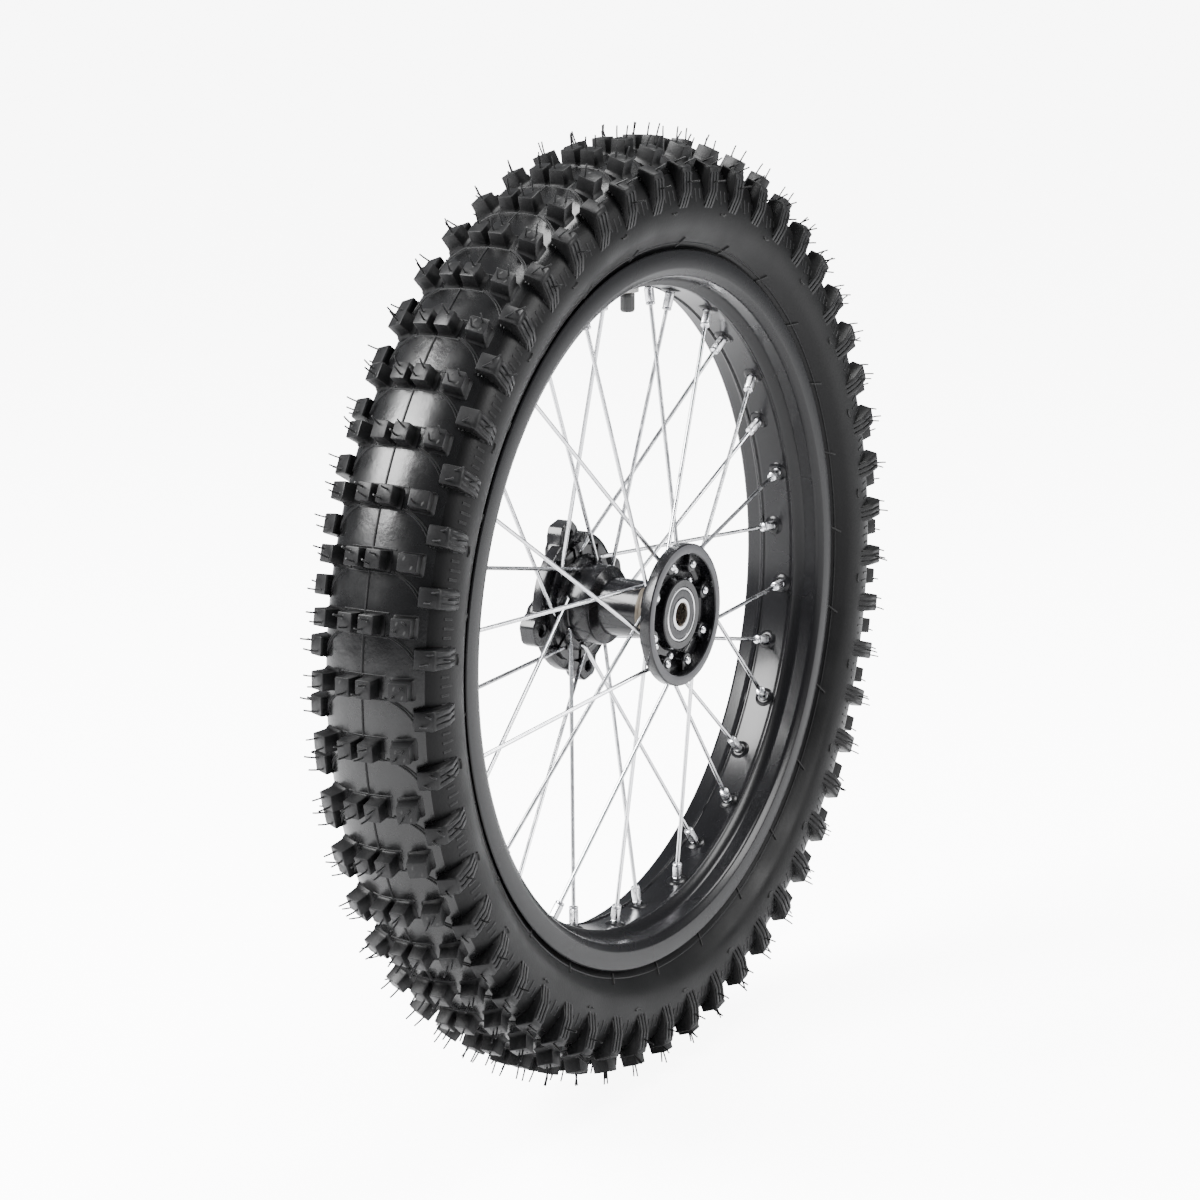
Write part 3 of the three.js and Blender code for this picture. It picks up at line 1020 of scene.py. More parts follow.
    def shoulder(self, side: Side) -> Draft:
        """Canted shoulder block, fluted on its outer side.

        Args:
            side: Side of the wheel.

        Returns:
            The block at angle 0.
        """
        section = smoothed([
            (279.0, 29.6), (284.2, 31.0), (285.3, 31.8), (285.2, 32.8), (282.6, 39.4),
            (281.7, 41.6), (280.6, 42.3), (278.6, 42.5), (266.0, 42.4), (262.0, 41.2),
            (257.5, 39.2), (262.0, 36.0),
        ], 2)
        draft = self.prism(section, self.shoulder_half, 0.8, side)
        rib = [
            (279.0, 42.2), (277.6, 43.3), (266.6, 43.3), (258.0, 40.6), (254.0, 38.8),
            (264.0, 39.0),
        ]
        for z in (-self.flute_gap, 0.0, self.flute_gap):
            flute = self.prism(rib, self.flute_half, 0.4, side)
            draft.add(flute, Matrix.Translation((0, 0, z)))
        return draft

    def ridge(
        self, path: Sequence[Tuple[float, float]], side: Side, width: float, height: float = 0.5
    ) -> Draft:
        """Low ridge with a flat top along the carcass.

        Args:
            path: (distance from the centre line, angle in degrees) points.
            side: Side of the wheel.
            width: Half width of the ridge.
            height: Height of the ridge above the surface.

        Returns:
            The ridge, sunk into the surface.
        """
        loops = []
        spots = [self.surface(w, a, side, 0.0) for w, a in path]
        for i, (w, a) in enumerate(path):
            heading = spots[min(i + 1, len(spots) - 1)] - spots[max(i - 1, 0)]
            normal = self.surface(w, a, side, 1.0) - spots[i]
            place = facing(spots[i], heading, normal)
            section = ((-0.6, -1.2 * width), (0.7 * height, -0.85 * width), (height, -0.5 * width),
                       (height, 0.5 * width), (0.7 * height, 0.85 * width), (-0.6, 1.2 * width))
            loops.append([place @ Vector((0, up, across)) for up, across in section])
        return Draft().loft(loops)

    def arcs(self, side: Side) -> Draft:
        """Thin raised arcs between the blocks of one pitch.

        Args:
            side: Side of the wheel.

        Returns:
            The arcs of one pitch.
        """
        draft = Draft()
        for gap in (0.0, 2.0):
            path = []
            for width, along in smoothed(self.arc_points, 4):
                path.append((self.arc_width + width + gap, self.degrees(self.arc_edge + along)))
            draft.add(self.ridge(path, side, 0.55, 0.6), Matrix.Identity(4))
        for edge in (-self.arc_edge - 1.2, self.arc_edge + 1.2):
            path = [(15.0 * k / 8, self.degrees(edge)) for k in range(9)]
            draft.add(self.ridge(path, side, 0.5, 0.5), Matrix.Identity(4))
        return draft

    def degrees(self, along: float) -> float:
        """Angle that a distance along the tread takes at the crown."""
        return math.degrees(along / self.crown_radius)

    def centre_line(self) -> Draft:
        """Thin raised line along the crown between two rows.

        Returns:
            The line of one pitch.
        """
        start = self.degrees(self.arc_edge + 0.6)
        path = [(0.0, start + (self.pitch - 2 * start) * k / 6) for k in range(7)]
        return self.ridge(path, Side.NEAR, 0.7, 0.6)

    def sidewall_ribs(self, side: Side) -> Draft:
        """Short raised ribs on the sidewall under a shoulder block.

        Args:
            side: Side of the wheel.

        Returns:
            The ribs of one pitch.
        """
        draft = Draft()
        for angle in (-2.3, -1.15, 0.0, 1.15, 2.3):
            length = 8.5 - 2.0 * abs(angle)
            path = [(48.0 + length * k / 4, angle) for k in range(5)]
            draft.add(self.ridge(path, side, 0.8, 0.35), Matrix.Identity(4))
        return draft

    def side_lines(self, side: Side) -> Draft:
        """Fine raised ring beside the rim's lip.

        Args:
            side: Side of the wheel.

        Returns:
            The whole ring.
        """
        outline = []
        for across, lift in ((-0.9, -0.5), (-0.5, 0.35), (0.0, 0.6), (0.5, 0.35), (0.9, -0.5)):
            spot = self.surface(self.line_width + across, 0.0, side, lift)
            outline.append((spot.x, spot.y))
        return Draft().revolve(outline, self.steps)

    def tick(self, side: Side) -> Draft:
        """Short curls of rubber at the bead line and on the sidewall, left by mould vents.

        Args:
            side: Side of the wheel.

        Returns:
            One pair of curls.
        """
        at_bead = [(80.0 + 1.1 * k, 0.16 * k) for k in range(8)]
        on_wall = [(62.0 + 0.5 * k - 0.06 * k * k, 5.0 + 0.17 * k) for k in range(9)]
        draft = self.ridge(at_bead, side, 0.55, 0.9)
        return draft.add(self.ridge(on_wall, side, 0.5, 0.8), Matrix.Identity(4))

    def pins(self, side: Side) -> Draft:
        """Dark marks that the mould's pins leave on the centre and middle blocks.

        Args:
            side: Side of the wheel.

        Returns:
            The marks of one pitch.
        """
        draft = Draft()
        dot = ((-0.4, 0.72), (0.06, 0.68), (0.12, 0.45))
        stretch = Matrix.Diagonal((1.0, 2.1, 0.9, 1.0))
        top = self.crown_radius + self.block_height - 0.35
        for r, y, z in ((top, 5.0, 2.8), (top, 8.4, -2.6)):
            place = facing(Vector((r, side.value * y, z)), Vector((1, 0, 0)), Vector((0, 0.4, 1)))
            draft.turned(dot, place @ stretch, 10)
        lean = math.radians(self.middle_lean) * side.value
        out = Vector((math.cos(lean), math.sin(lean), 0))
        wide = Vector((-math.sin(lean), math.cos(lean), 0))
        foot = Vector((self.middle_foot[0], side.value * self.middle_foot[1], 0))
        for across, z in ((-2.6, 2.6), (2.2, -2.2)):
            spot = foot + out * self.block_height + wide * across + Vector((0, 0, z))
            draft.turned(dot, facing(spot, out, Vector((0, 0.4, 1))) @ stretch, 10)
        return draft

    def whisker(self, lean: float, side: Side) -> Draft:
        """Vent whisker at angle 0 that leans outwards and bends a little at its tip.

        Args:
            lean: Degrees that it leans away from the radius.
            side: Side of the wheel.

        Returns:
            The whisker, its foot at the origin.
        """
        angle = math.radians(lean) * side.value
        out = Vector((math.cos(angle), math.sin(angle), 0))
        path = []
        for k in range(5):
            t = k / 4
            spot = out * (self.whisker_length * t - 0.5) + Vector((0, 0, -0.9 * t * t))
            path.append((spot, self.whisker_radius - 0.08 * t))
        return swept(path, self.whisker_sides)

    def build(self) -> None:
        """Builds the carcass and everything that is repeated round it."""
        start = math.radians(self.start)
        half = math.radians(self.pitch / 2)
        outline = mirrored(self.curve + smoothed(self.inner, 4))
        carcass = Draft().revolve(outline, self.steps).piece("tyre_carcass", SIDEWALL, 40.0)
        carcass.data.materials.append(CROWN.material())
        for face in carcass.data.polygons:
            centre = face.center
            glossy = math.hypot(centre.x, centre.z) > self.gloss_radius * MM
            face.material_index = int(glossy)
        settle(carcass, Body.WHEEL, ["tyre"])
        makers: List[Tuple[str, Callable[[Side], Draft], float]] = [
            ("tread_centre_blocks", self.centre_block, start),
            ("tread_middle_blocks", self.middle_block, start),
            ("tread_shoulder_blocks", self.shoulder, start + half),
            ("tread_arcs", self.arcs, start),
            ("tyre_side_ribs", self.sidewall_ribs, start),
        ]
        for side in Side:
            word = side.name.lower()
            for name, maker, angle in makers:
                piece = maker(side).piece(f"{name}_{word}", TREAD, 42.0)
                self.rings.repeat(piece, TREAD, Count=self.pitches, Start=angle)
                settle(piece, Body.WHEEL)
            lines = self.side_lines(side).piece(f"tyre_side_lines_{word}", SIDEWALL, 60.0)
            settle(lines, Body.WHEEL)
            ticks = self.tick(side).piece(f"tyre_vent_curls_{word}", PIN_DARK, 50.0)
            self.rings.repeat(ticks, PIN_DARK, Count=self.tick_count, Start=start)
            settle(ticks, Body.WHEEL)
            if side is Side.NEAR:
                line = self.centre_line().piece("tread_centre_line", TREAD, 50.0)
                self.rings.repeat(line, TREAD, Count=self.pitches, Start=start)
                settle(line, Body.WHEEL)
            pins = self.pins(side).piece(f"tread_pins_{word}", PIN_DARK)
            self.rings.repeat(pins, PIN_DARK, Count=self.pitches, Start=start)
            settle(pins, Body.WHEEL)
            self.build_whiskers(side)

    def build_whiskers(self, side: Side) -> None:
        """Scatters vent whiskers on the blocks of one side.

        Args:
            side: Side of the wheel.
        """
        top = self.crown_radius + self.block_height - 0.2
        rows = (
            ("centre_a", top, 5.0, 2.8, 3.0, 0.0),
            ("centre_b", top - 0.2, 8.4, -2.6, 3.0, 0.0),
            ("middle_a", 295.3, 25.2, 2.4, self.middle_lean, 0.0),
            ("middle_b", 293.6, 29.7, -2.4, self.middle_lean, 0.0),
            ("shoulder_a", 284.4, 35.6, 3.2, 62.0, 0.5),
            ("shoulder_b", 283.0, 39.0, -3.2, 62.0, 0.5),
            ("side", 272.0, 43.0, 0.0, 80.0, 0.5),
        )
        for number, (row, radius, y, along, lean, shift) in enumerate(rows):
            name = f"tread_whiskers_{row}_{side.name.lower()}"
            piece = self.whisker(lean, side).piece(name, TREAD, 60.0)
            angle = self.start + shift * self.pitch + self.degrees(along)
            self.rings.repeat(
                piece, TREAD, Count=self.pitches, Radius=radius * MM, Offset=side.value * y * MM,
                Start=math.radians(angle), Tilt=self.whisker_tilt,
                Kept_Share=self.whisker_share, Seed=3 + number + 10 * (side is Side.FAR),
            )
            settle(piece, Body.WHEEL)


# Hub


@dataclass
class Hub:
    """Cast hub: cupped flange, barrel, drum with four disc lugs and a locating ring."""

    rings: RingTree
    lacing: Lacing
    flange_radius: float = 45.5
    face: float = 43.3
    barrel_radius: float = 18.5
    drum_radius: float = 25.7
    boss_radius: float = 22.5
    pocket_radius: float = 17.8
    core_radius: float = 15.0
    drill_radius: float = 1.7
    bearing_face: float = 40.5
    bearing_width: float = 11.0
    lug_count: int = 4
    lug_start: float = 14.0
    lug_reach: float = 55.0
    lug_half_width: float = 10.0
    lug_inboard: float = 35.9
    lug_thickness: float = 11.4
    bolt_circle: float = 46.0
    bolt_radius: float = 3.6
    steps: int = 144

    def outline(self) -> Outline:
        """Closed section of the casting from the near face to the far face.

        Returns:
            (radius, y) points.
        """
        inner = self.lacing.inner_hole
        outer = self.lacing.outer_hole
        rim = self.flange_radius
        wall = rim - 6.7
        seat = self.bearing_face - self.bearing_width - 0.35
        near = [
            (self.pocket_radius, self.bearing_face), (self.boss_radius - 0.6, self.bearing_face),
            (self.boss_radius, self.bearing_face - 0.6), (self.boss_radius + 0.5, inner[1] + 1.6),
            (self.boss_radius + 1.4, inner[1] + 0.3), (self.boss_radius + 2.4, inner[1]),
            (wall - 2.0, inner[1]), (wall - 0.7, inner[1] + 0.5), (wall - 0.3, inner[1] + 2.0),
            (wall, self.face - 0.6), (wall + 0.5, self.face), (rim - 0.7, self.face),
            (rim, self.face - 0.7), (rim, self.face - 6.2), (rim - 0.4, self.face - 7.0),
            (rim - 1.6, self.face - 7.6), (35.8, outer[2]), (34.0, outer[2] - 0.2),
            (31.6, outer[2] - 1.2), (29.8, inner[2] + 1.4), (28.6, inner[2]),
            (26.2, inner[2] - 0.5), (23.6, 26.0), (21.6, 24.2), (20.6, 22.0), (20.0, 20.6),
            (self.barrel_radius, 19.6),
        ]
        drum = self.drum_radius
        far = [
            (self.barrel_radius, 10.4), (self.barrel_radius + 1.4, 11.2), (drum - 2.2, 12.6),
            (drum - 0.6, 13.4), (drum, 14.6), (drum + 0.2, inner[2] - 1.0),
            (drum + 0.9, inner[2] - 0.2), (drum + 3.4, inner[2]), (30.6, inner[2] + 1.0),
            (32.0, outer[2] - 0.6), (33.6, outer[2]), (rim - 1.4, outer[2]),
            (rim - 0.4, outer[2] + 0.5), (rim, outer[2] + 1.6), (rim, self.face - 0.7),
            (rim - 0.7, self.face), (wall + 0.5, self.face), (wall, self.face - 0.6),
            (wall - 0.5, inner[1] + 1.6), (wall - 1.6, inner[1]),
            (self.boss_radius + 2.0, inner[1]),
            (self.boss_radius + 0.6, inner[1] + 1.2), (self.boss_radius, self.bearing_face - 0.5),
            (self.boss_radius - 0.6, self.bearing_face), (self.pocket_radius, self.bearing_face),
        ]
        bore = [
            (self.pocket_radius, seat), (self.core_radius, seat), (self.core_radius, -seat),
            (self.pocket_radius, -seat),
        ]
        return [(r, -y) for r, y in near] + far + bore

    def pad(self, side: Side) -> Draft:
        """Scalloped pad that carries a head of the outer circle, at angle 0.

        Args:
            side: Side of the wheel.

        Returns:
            The pad.
        """
        radius, seat, _ = self.lacing.outer_hole
        outline = []
        for k in range(17):
            angle = math.pi / 2 + math.pi * k / 16
            outline.append((radius + 5.4 * math.cos(angle), 5.4 * math.sin(angle)))
        outline += [
            (radius + 4.0, -6.4), (38.4, -8.4), (39.4, 0.0), (38.4, 8.4), (radius + 4.0, 6.4),
        ]
        loops = []
        floor = self.lacing.inner_hole[1] - 1.0
        for y, inset in ((floor, -0.8), (floor + 1.6, 0.0), (seat - 0.5, 0.2), (seat, 0.8)):
            loop = []
            for x, z in outline:
                offset = Vector((x - radius - 1.5, z)).normalized() * inset
                loop.append(Vector((x - offset.x, side.value * y, z - offset.y)))
            loops.append(loop)
        return Draft().loft(loops)

    def lug(self) -> Draft:
        """Chamfered disc lug at angle 0, before its bolt hole.

        Returns:
            The lug.
        """
        half = self.lug_half_width
        reach = self.lug_reach
        outline = [
            (36.0, -half - 6.0), (41.5, -half - 4.6), (44.5, -half - 1.4), (reach - 5.4, -half),
            (reach - 1.0, -half + 3.4), (reach, -half + 5.4), (reach, half - 5.4),
            (reach - 1.0, half - 3.4), (reach - 5.4, half), (44.5, half + 1.4),
            (41.5, half + 4.6), (36.0, half + 6.0),
        ]
        low = self.lug_inboard
        high = low + self.lug_thickness
        loops = []
        for y, inset in ((low, 1.0), (low + 1.0, 0.1), (high - 1.0, 0.0), (high, 0.9)):
            shrink = 1 - inset / 12.0
            loops.append([
                Vector((46.0 + (x - 46.0) * shrink, y, z * shrink)) for x, z in outline
            ])
        return Draft().loft(loops)

    def drills(self) -> Draft:
        """Cutters for the spoke holes and the disc bolts.

        Returns:
            All the cutters as one draft.
        """
        draft = Draft()
        for index in range(self.lacing.count):
            side, angle, (radius, seat, leave) = self.lacing.hole(index)
            start = polar(radius, angle, side.value * (leave - 6.0))
            place = facing(start, Vector((0, side.value, 0)), Vector((1, 0, 0)))
            drill = [(0.0, self.drill_radius), (seat - leave + 12.0, self.drill_radius)]
            draft.turned(drill, place, 14)
        for k in range(self.lug_count):
            spot = polar(self.bolt_circle, self.lug_start + k * 360.0 / self.lug_count, 30.0)
            place = facing(spot, Vector((0, 1, 0)), Vector((1, 0, 0)))
            depth = self.lug_inboard - 30.0
            r = self.bolt_radius
            draft.turned([
                (0.0, r + 1.0), (depth, r + 1.0), (depth + 1.0, r), (depth + 10.4, r),
                (depth + 11.4, r + 0.9), (depth + 14.0, r + 0.9),
            ], place, 24)
        return draft

    def build(self) -> None:
        """Builds the casting, cuts its holes and adds the machined faces."""
        body = Draft().revolve(self.outline(), self.steps).piece("hub_casting", HUB_GLOSS, 32.0)
        for side in Side:
            extra = self.pad(side).piece("pads", HUB_GLOSS, 40.0)
            index = 3 if side is Side.NEAR else 2
            start = math.radians(self.lacing.hole(index)[1])
            self.rings.repeat(extra, HUB_GLOSS, Count=self.lacing.count // 4, Start=start)
            self.carve(body, extra, "UNION")
        lugs = self.lug().piece("lugs", HUB_GLOSS, 25.0)
        angle = math.radians(self.lug_start)
        self.rings.repeat(lugs, HUB_GLOSS, Count=self.lug_count, Start=angle)
        self.carve(body, lugs, "UNION")
        self.carve(body, self.drills().piece("drills", HUB_GLOSS, 30.0), "DIFFERENCE")
        clean(body.data, 32.0)
        settle(body, Body.WHEEL, ["hub_shell"])
        self.machined_faces()

    @staticmethod
    def carve(body: bpy.types.Object, tool: bpy.types.Object, how: str) -> None:
        """Applies a boolean with a tool object and removes the tool.

        Args:
            body: The object that is changed.
            tool: The object that cuts or joins.
            how: UNION or DIFFERENCE.
        """
        modifier = body.modifiers.new("cut", "BOOLEAN")
        modifier.operation = how
        modifier.solver = "MANIFOLD"
        modifier.object = tool
        graph = bpy.context.evaluated_depsgraph_get()
        mesh = bpy.data.meshes.new_from_object(body.evaluated_get(graph))
        body.modifiers.clear()
        body.data = mesh
        bpy.data.objects.remove(tool)

    def machined_faces(self) -> None:
        """Adds the satin faces, the locating ring and the bare band on the barrel."""
        rim = self.flange_radius
        face = self.face
        near = [(rim - 6.1, -face + 0.4), (rim - 0.8, -face + 0.4), (rim - 0.8, -face - 0.05),
                (rim - 1.0, -face - 0.15), (rim - 5.9, -face - 0.15), (rim - 6.1, -face - 0.05)]
        ring = Draft().revolve(near, self.steps).piece("hub_flange_face", HUB_MACHINED)
        settle(ring, Body.WHEEL)
        spigot = [(37.6, 42.0), (37.6, 45.8), (38.0, 46.3), (40.0, 46.3), (40.4, 45.8),
                  (40.4, 42.0)]
        locating = Draft().revolve(spigot, self.steps).piece("hub_locating_ring", HUB_MACHINED)
        settle(locating, Body.WHEEL)
        band = [(18.0, -24.6), (22.3, -24.6), (22.6, -24.2), (22.5, -21.9), (21.9, -20.6),
                (20.6, -19.5), (19.3, -18.6), (18.8, -16.8), (18.0, -16.4)]
        bare = Draft().revolve(band, self.steps).piece("hub_bare_band", HUB_BARE)
        settle(bare, Body.WHEEL)


# Bearings


@dataclass
class Bearing:
    """Sealed ball bearing: two races, balls in a cage and two seals."""

    side: Side
    outer_radius: float = 17.5
    bore_radius: float = 7.5
    width: float = 11.0
    face: float = 40.5
    ball_radius: float = 2.9
    ball_circle: float = 12.5
    ball_count: int = 8

    @property
    def label(self) -> str:
        """Word for this bearing's side in names."""
        return self.side.name.lower()

    def ring(self, half: Outline, name: str, finish: Finish) -> bpy.types.Object:
        """Revolves an outline given from the bearing's middle outwards along the axle.

        Args:
            half: (radius, distance) points of the outline.
            name: The piece's name.
            finish: The finish that it wears.

        Returns:
            The new object.
        """
        middle = self.face - self.width / 2
        outline = [(r, self.side.value * (middle + y)) for r, y in half]
        return Draft().revolve(outline, 96).piece(name, finish, 30.0)

    def build(self, rings: RingTree) -> None:
        """Builds the races, the bore's lining, the seals and the caged balls.

        Args:
            rings: The tree that repeats the balls.
        """
        w = self.width / 2
        node = f"{self.label}_bearing"
        groove = [(14.7, 2.4), (15.5, 1.6), (15.8, 0.0), (15.5, -1.6), (14.7, -2.4)]
        outer = [(self.outer_radius - 0.5, w), (self.outer_radius, w - 0.5),
                 (self.outer_radius, 0.5 - w), (self.outer_radius - 0.5, -w), (16.3, -w),
                 (16.05, 0.3 - w), (16.05, 1.2 - w), (14.7, 1.3 - w), *reversed(groove),
                 (14.7, w - 1.3), (16.05, w - 1.2), (16.05, w - 0.3), (16.3, w)]
        piece = self.ring(outer, f"{node}_outer_ring", RACE_STEEL)
        settle(piece, Body.WHEEL, [f"{node}_outer_race"])
        channel = [(10.3, 2.4), (9.5, 1.6), (9.2, 0.0), (9.5, -1.6), (10.3, -2.4)]
        inner = [(self.bore_radius + 0.45, w), (9.9, w), (10.2, w - 0.3), *channel,
                 (10.2, 0.3 - w), (9.9, -w), (self.bore_radius + 0.45, -w),
                 (self.bore_radius + 0.3, 0.45 - w), (self.bore_radius + 0.3, w - 0.45)]
        piece = self.ring(inner, f"{node}_inner_ring", RACE_STEEL)
        settle(piece, Body.AXLE, [f"{node}_inner_race"])
        bore = [(self.bore_radius, w - 0.5), (self.bore_radius, 0.5 - w),
                (self.bore_radius + 0.28, 0.5 - w), (self.bore_radius + 0.28, w - 0.5)]
        piece = self.ring(bore, f"{node}_bore_lining", BORE_STAIN)
        settle(piece, Body.AXLE)
        lip = [(10.7, w - 0.6), (10.9, w - 0.35), (11.6, w - 0.45), (12.4, w - 0.3),
               (14.9, w - 0.3), (15.6, w - 0.45), (15.9, w - 1.0), (10.7, w - 1.1)]
        for name, flip in (("outer", 1), ("inner", -1)):
            outline = [(r, flip * y) for r, y in lip]
            piece = self.ring(outline, f"{node}_{name}_seal_lip", SEAL)
            settle(piece, Body.WHEEL, [f"{node}_{name}_seal"])
        self.build_cage(rings)

    def build_cage(self, rings: RingTree) -> None:
        """Builds the balls in their pressed cage.

        Args:
            rings: The tree that repeats the balls.
        """
        middle = self.side.value * (self.face - self.width / 2)
        draft = Draft()
        stations = []
        for k in range(9):
            angle = math.pi * (k + 0.02) / 8.04
            distance = -self.ball_radius * math.cos(angle)
            stations.append((distance, self.ball_radius * math.sin(angle)))
        centre = Vector((self.ball_circle, middle, 0))
        place = facing(centre, Vector((0, 1, 0)), Vector((1, 0, 0)))
        draft.turned(stations, place, 16)
        balls = draft.piece(f"{self.label}_bearing_balls", RACE_STEEL, 60.0)
        rings.repeat(balls, RACE_STEEL, Count=self.ball_count)
        body = Body.NEAR_CAGE if self.side is Side.NEAR else Body.FAR_CAGE
        settle(balls, body, [f"{self.label}_bearing_ball_cage"])
        band = [(self.ball_circle - 0.7, 1.1), (self.ball_circle + 0.7, 1.1),
                (self.ball_circle + 0.7, -1.1), (self.ball_circle - 0.7, -1.1)]
        cage = self.ring(band, f"{self.label}_bearing_cage_band", CAGE_STEEL)
        settle(cage, body)


# Valve, tube and spacer


@dataclass
class Valve:
    """Tube valve at the top of the wheel: stem, core, hex nut and cap."""

    tip: float = 193.5
    stem_radius: float = 3.4
    thread_turns: int = 26
    thread_pitch: float = 0.75
    nut_across: float = 6.2
    nut_range: Tuple[float, float] = (201.6, 206.1)
    cap_range: Tuple[float, float] = (189.5, 201.2)
    cap_radius: float = 4.5
    grip_count: int = 24
    grip_depth: float = 0.16

    def upright(self) -> Matrix:
        """Matrix whose X axis points from the hub to the valve."""
        return facing(Vector((0, 0, 0)), Vector((0, 0, 1)), Vector((0, 1, 0)))

    def build(self) -> None:
        """Builds the four pieces."""
        place = self.upright()
        stem = [(self.tip, 2.2), (self.tip + 0.1, self.stem_radius - 0.5)]
        for k in range(self.thread_turns):
            base = self.tip + 0.5 + k * self.thread_pitch
            stem += [(base, self.stem_radius - 0.35), (base + 0.35, self.stem_radius)]
        stem += [(215.5, self.stem_radius), (216.6, 4.6), (217.4, 8.2), (218.6, 9.0), (220.8, 8.8),
                 (221.0, 2.2)]
        piece = Draft().turned(stem, place, 28).piece("valve_stem_threaded", BRASS, 30.0)
        settle(piece, Body.WHEEL, ["valve_stem"])
        core = [(192.9, 0.7), (193.0, 1.1), (194.4, 1.1), (194.5, 0.6), (196.0, 0.6), (196.1, 1.9),
                (199.0, 1.9)]
        piece = Draft().turned(core, place, 16).piece("valve_core_pin", BRASS, 30.0)
        settle(piece, Body.WHEEL, ["valve_core"])
        self.build_nut(place)
        self.build_cap(place)

    def build_nut(self, place: Matrix) -> None:
        """Builds the chamfered hex nut.

        Args:
            place: Matrix whose X axis points to the valve.
        """
        low, high = self.nut_range
        loops = []
        for x, size, roundness in (
            (low, 0.86, 1.0), (low + 0.5, 1.0, 0.0), (high - 0.5, 1.0, 0.0), (high, 0.86, 1.0)
        ):
            loop = []
            for k in range(24):
                angle = 2 * math.pi * k / 24
                offset = (angle + math.pi / 6) % (math.pi / 3) - math.pi / 6
                hexagon = self.nut_across / math.cos(offset)
                radius = size * (hexagon * (1 - roundness) + self.nut_across * roundness)
                spot = Vector((x, radius * math.cos(angle), radius * math.sin(angle)))
                loop.append(place @ spot)
            loops.append(loop)
        nut = Draft().loft(loops).piece("valve_hex_nut", NICKEL, 25.0)
        settle(nut, Body.WHEEL, ["valve_nut"])

    def build_cap(self, place: Matrix) -> None:
        """Builds the plastic cap with grip ribs.

        Args:
            place: Matrix whose X axis points to the valve.
        """
        low, high = self.cap_range
        r = self.cap_radius
        loops = []
        stations = ((low, 0.6, 0.0), (low, 0.72, 0.0), (low + 0.25, 0.86, 0.0),
                    (low + 0.9, 0.96, 0.0), (low + 1.6, 1.0, 1.0), (high - 3.0, 1.0, 1.0),
                    (high - 2.6, 1.02, 0.0), (high - 0.3, 1.04, 0.0), (high, 0.98, 0.0))
        for x, size, ribs in stations:
            loop = []
            for k in range(96):
                angle = 2 * math.pi * k / 96
                grip = self.grip_depth * ribs * math.cos(self.grip_count * angle)
                radius = size * r + grip
                loop.append(place @ Vector((x, radius * math.cos(angle), radius * math.sin(angle))))
            loops.append(loop)
        cap = Draft().loft(loops).piece("valve_cap_grip", CAP_PLASTIC, 50.0)
        settle(cap, Body.CAP, ["valve_cap"])


@dataclass
class Inside:
    """Hidden pieces: inner tube, rim band and the spacer tube between the bearings."""

    tube_centre: float = 251.0
    tube_height: float = 26.5
    tube_width: float = 23.0
    band_radius: float = 210.5
    spacer_radius: float = 10.0
    spacer_half: float = 29.1

    def build(self) -> None:
        """Builds the three pieces."""
        section = []
        for k in range(32):
            angle = 2 * math.pi * k / 32
            flare = 1 + 0.26 * math.sin(angle)
            section.append((
                self.tube_centre + self.tube_height * math.sin(angle),
                self.tube_width * flare * math.cos(angle),
            ))
        tube = Draft().revolve(section, 128).piece("inner_tube_inflated", TUBE_RUBBER, 60.0)
        settle(tube, Body.WHEEL, ["inner_tube"])
        r = self.band_radius
        band = [
            (r, -8.8), (r, 8.8), (r + 0.8, 9.0), (r + 1.0, 8.4), (r + 1.0, -8.4), (r + 0.8, -9.0),
        ]
        strip = Draft().revolve(band, 160).piece("rim_band_strip", TUBE_RUBBER)
        settle(strip, Body.WHEEL, ["rim_band"])
        end = self.spacer_half
        wall = [(7.8, -end), (9.6, -end), (self.spacer_radius, 0.4 - end),
                (self.spacer_radius, end - 0.4), (9.6, end), (7.8, end)]
        spacer = Draft().revolve(wall, 64).piece("spacer_tube_drawn", SPACER_STEEL)
        settle(spacer, Body.AXLE, ["spacer_tube"])


# Studio


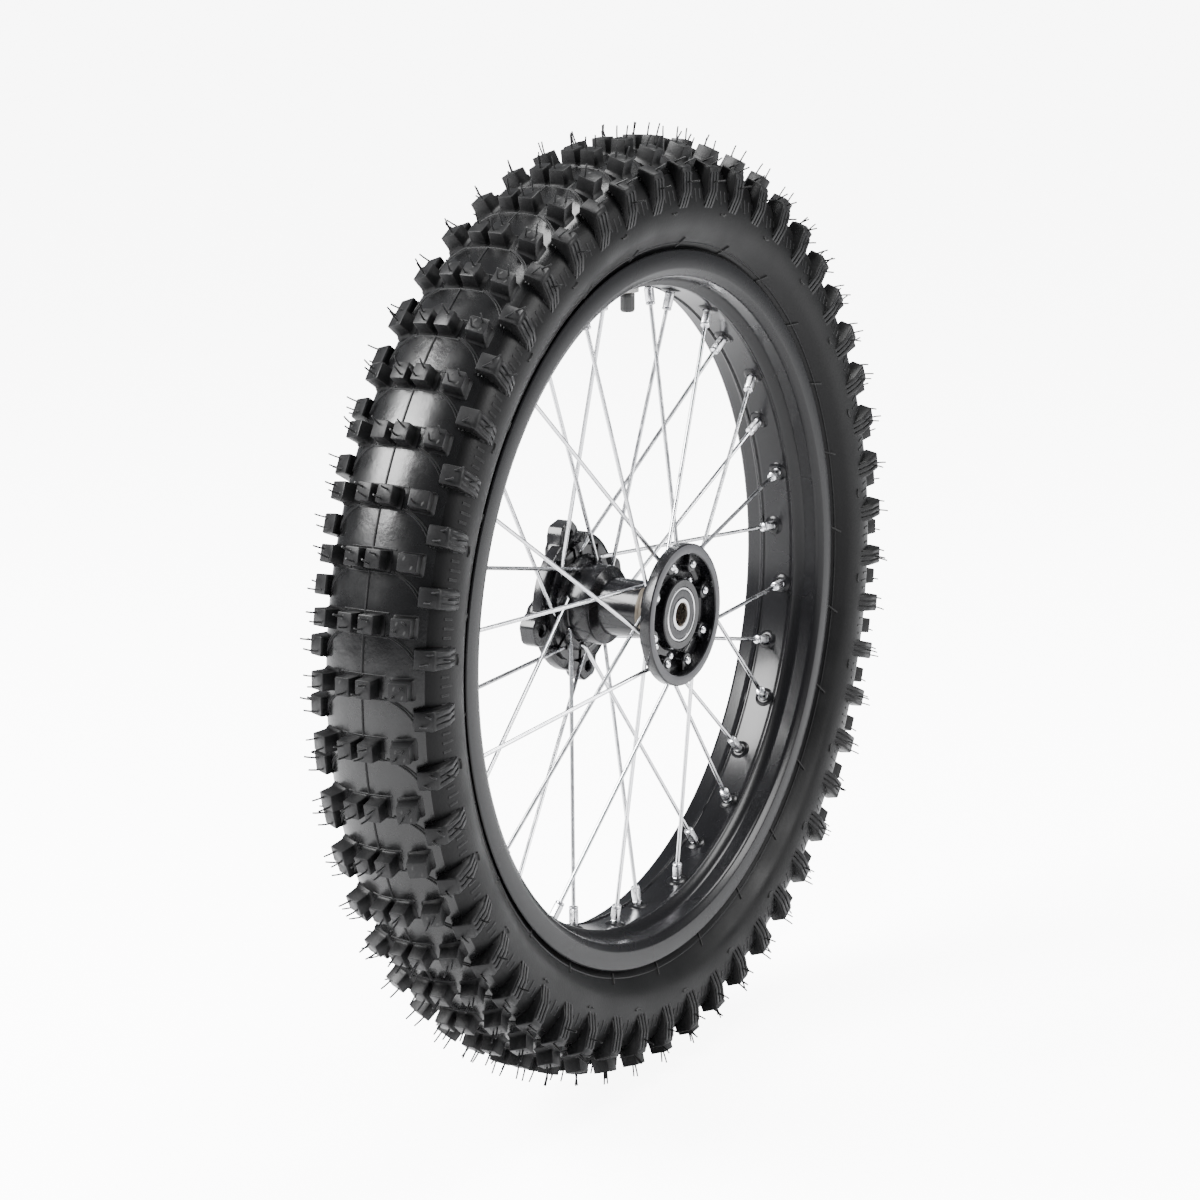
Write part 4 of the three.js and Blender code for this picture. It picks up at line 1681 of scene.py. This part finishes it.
@dataclass
class Studio:
    """Floor, lights and camera."""

    azimuth: float = -58.74
    elevation: float = 12.09
    distance: float = 1.920
    shift_right: float = 0.01721
    shift_up: float = -0.00473
    lens: float = 90.0
    floor_gap: float = 0.0003
    floor_reach: float = 90.0
    white: float = 9.0
    floor_glow: float = 8.0

    def axes(self) -> Tuple[Vector, Vector, Vector]:
        """Backward, right and up directions of the camera.

        Returns:
            The three unit vectors.
        """
        a = math.radians(self.azimuth)
        e = math.radians(self.elevation)
        back = Vector((math.sin(a) * math.cos(e), -math.cos(a) * math.cos(e), math.sin(e)))
        right = (-back).cross(Vector((0, 0, 1))).normalized()
        return back, right, right.cross(-back)

    def camera(self) -> None:
        """Places the camera."""
        back, right, up = self.axes()
        data = bpy.data.cameras.new("camera")
        data.lens = self.lens
        data.sensor_width = 36.0
        data.clip_end = 300.0
        camera = bpy.data.objects.new("camera", data)
        camera.location = back * self.distance - right * self.shift_right - up * self.shift_up
        camera.rotation_euler = (-back).to_track_quat("-Z", "Y").to_euler()
        bpy.context.scene.collection.objects.link(camera)
        bpy.context.scene.camera = camera

    def floor(self) -> None:
        """Lays a wide pale floor that looks brighter to the camera than it lights the wheel."""
        low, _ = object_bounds()
        finish = Finish(
            "floor_paint", "floor", (0.9, 0.9, 0.91), (0.93, 0.93, 0.94), 0.75,
            roughness_spread=0.03, patch_scale=2.0, grain_scale=40.0, grain_height=0.0,
        )
        size = self.floor_reach
        z = low[2] - self.floor_gap
        mesh = bpy.data.meshes.new("floor")
        corners = [(-size, -size, z), (size, -size, z), (size, size, z), (-size, size, z)]
        mesh.from_pydata(corners, [], [(0, 1, 2, 3)])
        paint = finish.material()
        shader = paint.node_tree.nodes["Principled BSDF"]
        shader.inputs["Emission Color"].default_value = (1.0, 1.0, 1.0, 1.0)
        path = paint.node_tree.nodes.new("ShaderNodeLightPath")
        glow = paint.node_tree.nodes.new("ShaderNodeMath")
        glow.operation = "MULTIPLY"
        glow.inputs[1].default_value = self.floor_glow
        paint.node_tree.links.new(path.outputs["Is Camera Ray"], glow.inputs[0])
        paint.node_tree.links.new(glow.outputs[0], shader.inputs["Emission Strength"])
        mesh.materials.append(paint)
        floor = bpy.data.objects.new("floor", mesh)
        bpy.context.scene.collection.objects.link(floor)
        floor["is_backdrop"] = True

    def lamp(
        self, name: str, place: Tuple[float, float, float], size: float, power: float
    ) -> None:
        """Hangs a square soft light aimed at the wheel's centre.

        Args:
            name: The light's name.
            place: Metres from the wheel's centre to the camera's right, upwards and towards
                the camera along the floor.
            size: Edge of the light in metres.
            power: Watts.
        """
        back, right, _ = self.axes()
        flat = Vector((back.x, back.y, 0)).normalized()
        spot = right * place[0] + Vector((0, 0, place[1])) + flat * place[2]
        data = bpy.data.lights.new(name, "AREA")
        data.size = size
        data.energy = power
        light = bpy.data.objects.new(name, data)
        light.location = spot
        light.rotation_euler = (-spot).to_track_quat("-Z", "Y").to_euler()
        bpy.context.scene.collection.objects.link(light)

    def build(self) -> None:
        """Sets up the studio."""
        self.camera()
        self.floor()
        self.lamp("key", (-2.2, 1.9, 0.8), 1.6, 420.0)
        self.lamp("top", (0.8, 2.6, -0.4), 1.4, 140.0)
        self.lamp("side", (2.6, 0.9, 0.2), 1.0, 60.0)
        self.air()

    def air(self) -> None:
        """Surrounds the wheel with a cove that is white to the camera and lights it faintly."""
        world = bpy.data.worlds.new("studio_air")
        world.use_nodes = True
        nodes = world.node_tree.nodes
        links = world.node_tree.links
        faint = nodes["Background"]
        faint.inputs["Color"].default_value = (0.93, 0.96, 1.0, 1.0)
        faint.inputs["Strength"].default_value = 0.4
        cove = nodes.new("ShaderNodeBackground")
        cove.inputs["Color"].default_value = (1.0, 1.0, 1.0, 1.0)
        cove.inputs["Strength"].default_value = self.white
        path = nodes.new("ShaderNodeLightPath")
        mix = nodes.new("ShaderNodeMixShader")
        links.new(path.outputs["Is Camera Ray"], mix.inputs["Fac"])
        links.new(faint.outputs[0], mix.inputs[1])
        links.new(cove.outputs[0], mix.inputs[2])
        links.new(mix.outputs[0], nodes["World Output"].inputs["Surface"])
        bpy.context.scene.world = world


def write_sizes() -> None:
    """Updates the view layer.
    """
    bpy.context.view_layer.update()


def main() -> None:
    """Builds the wheel's pieces in order, then the studio."""
    logging.basicConfig(level=logging.INFO, format="%(name)s %(message)s")
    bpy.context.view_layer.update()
    rings = RingTree()
    lacing = Lacing()
    Rim(rings, lacing).build()
    lacing.build()
    Tyre(rings).build()
    Hub(rings, lacing).build()
    for side in Side:
        Bearing(side).build(rings)
    Valve().build()
    Inside().build()
    write_sizes()
    Studio().build()


if __name__ == "__main__":
    main()
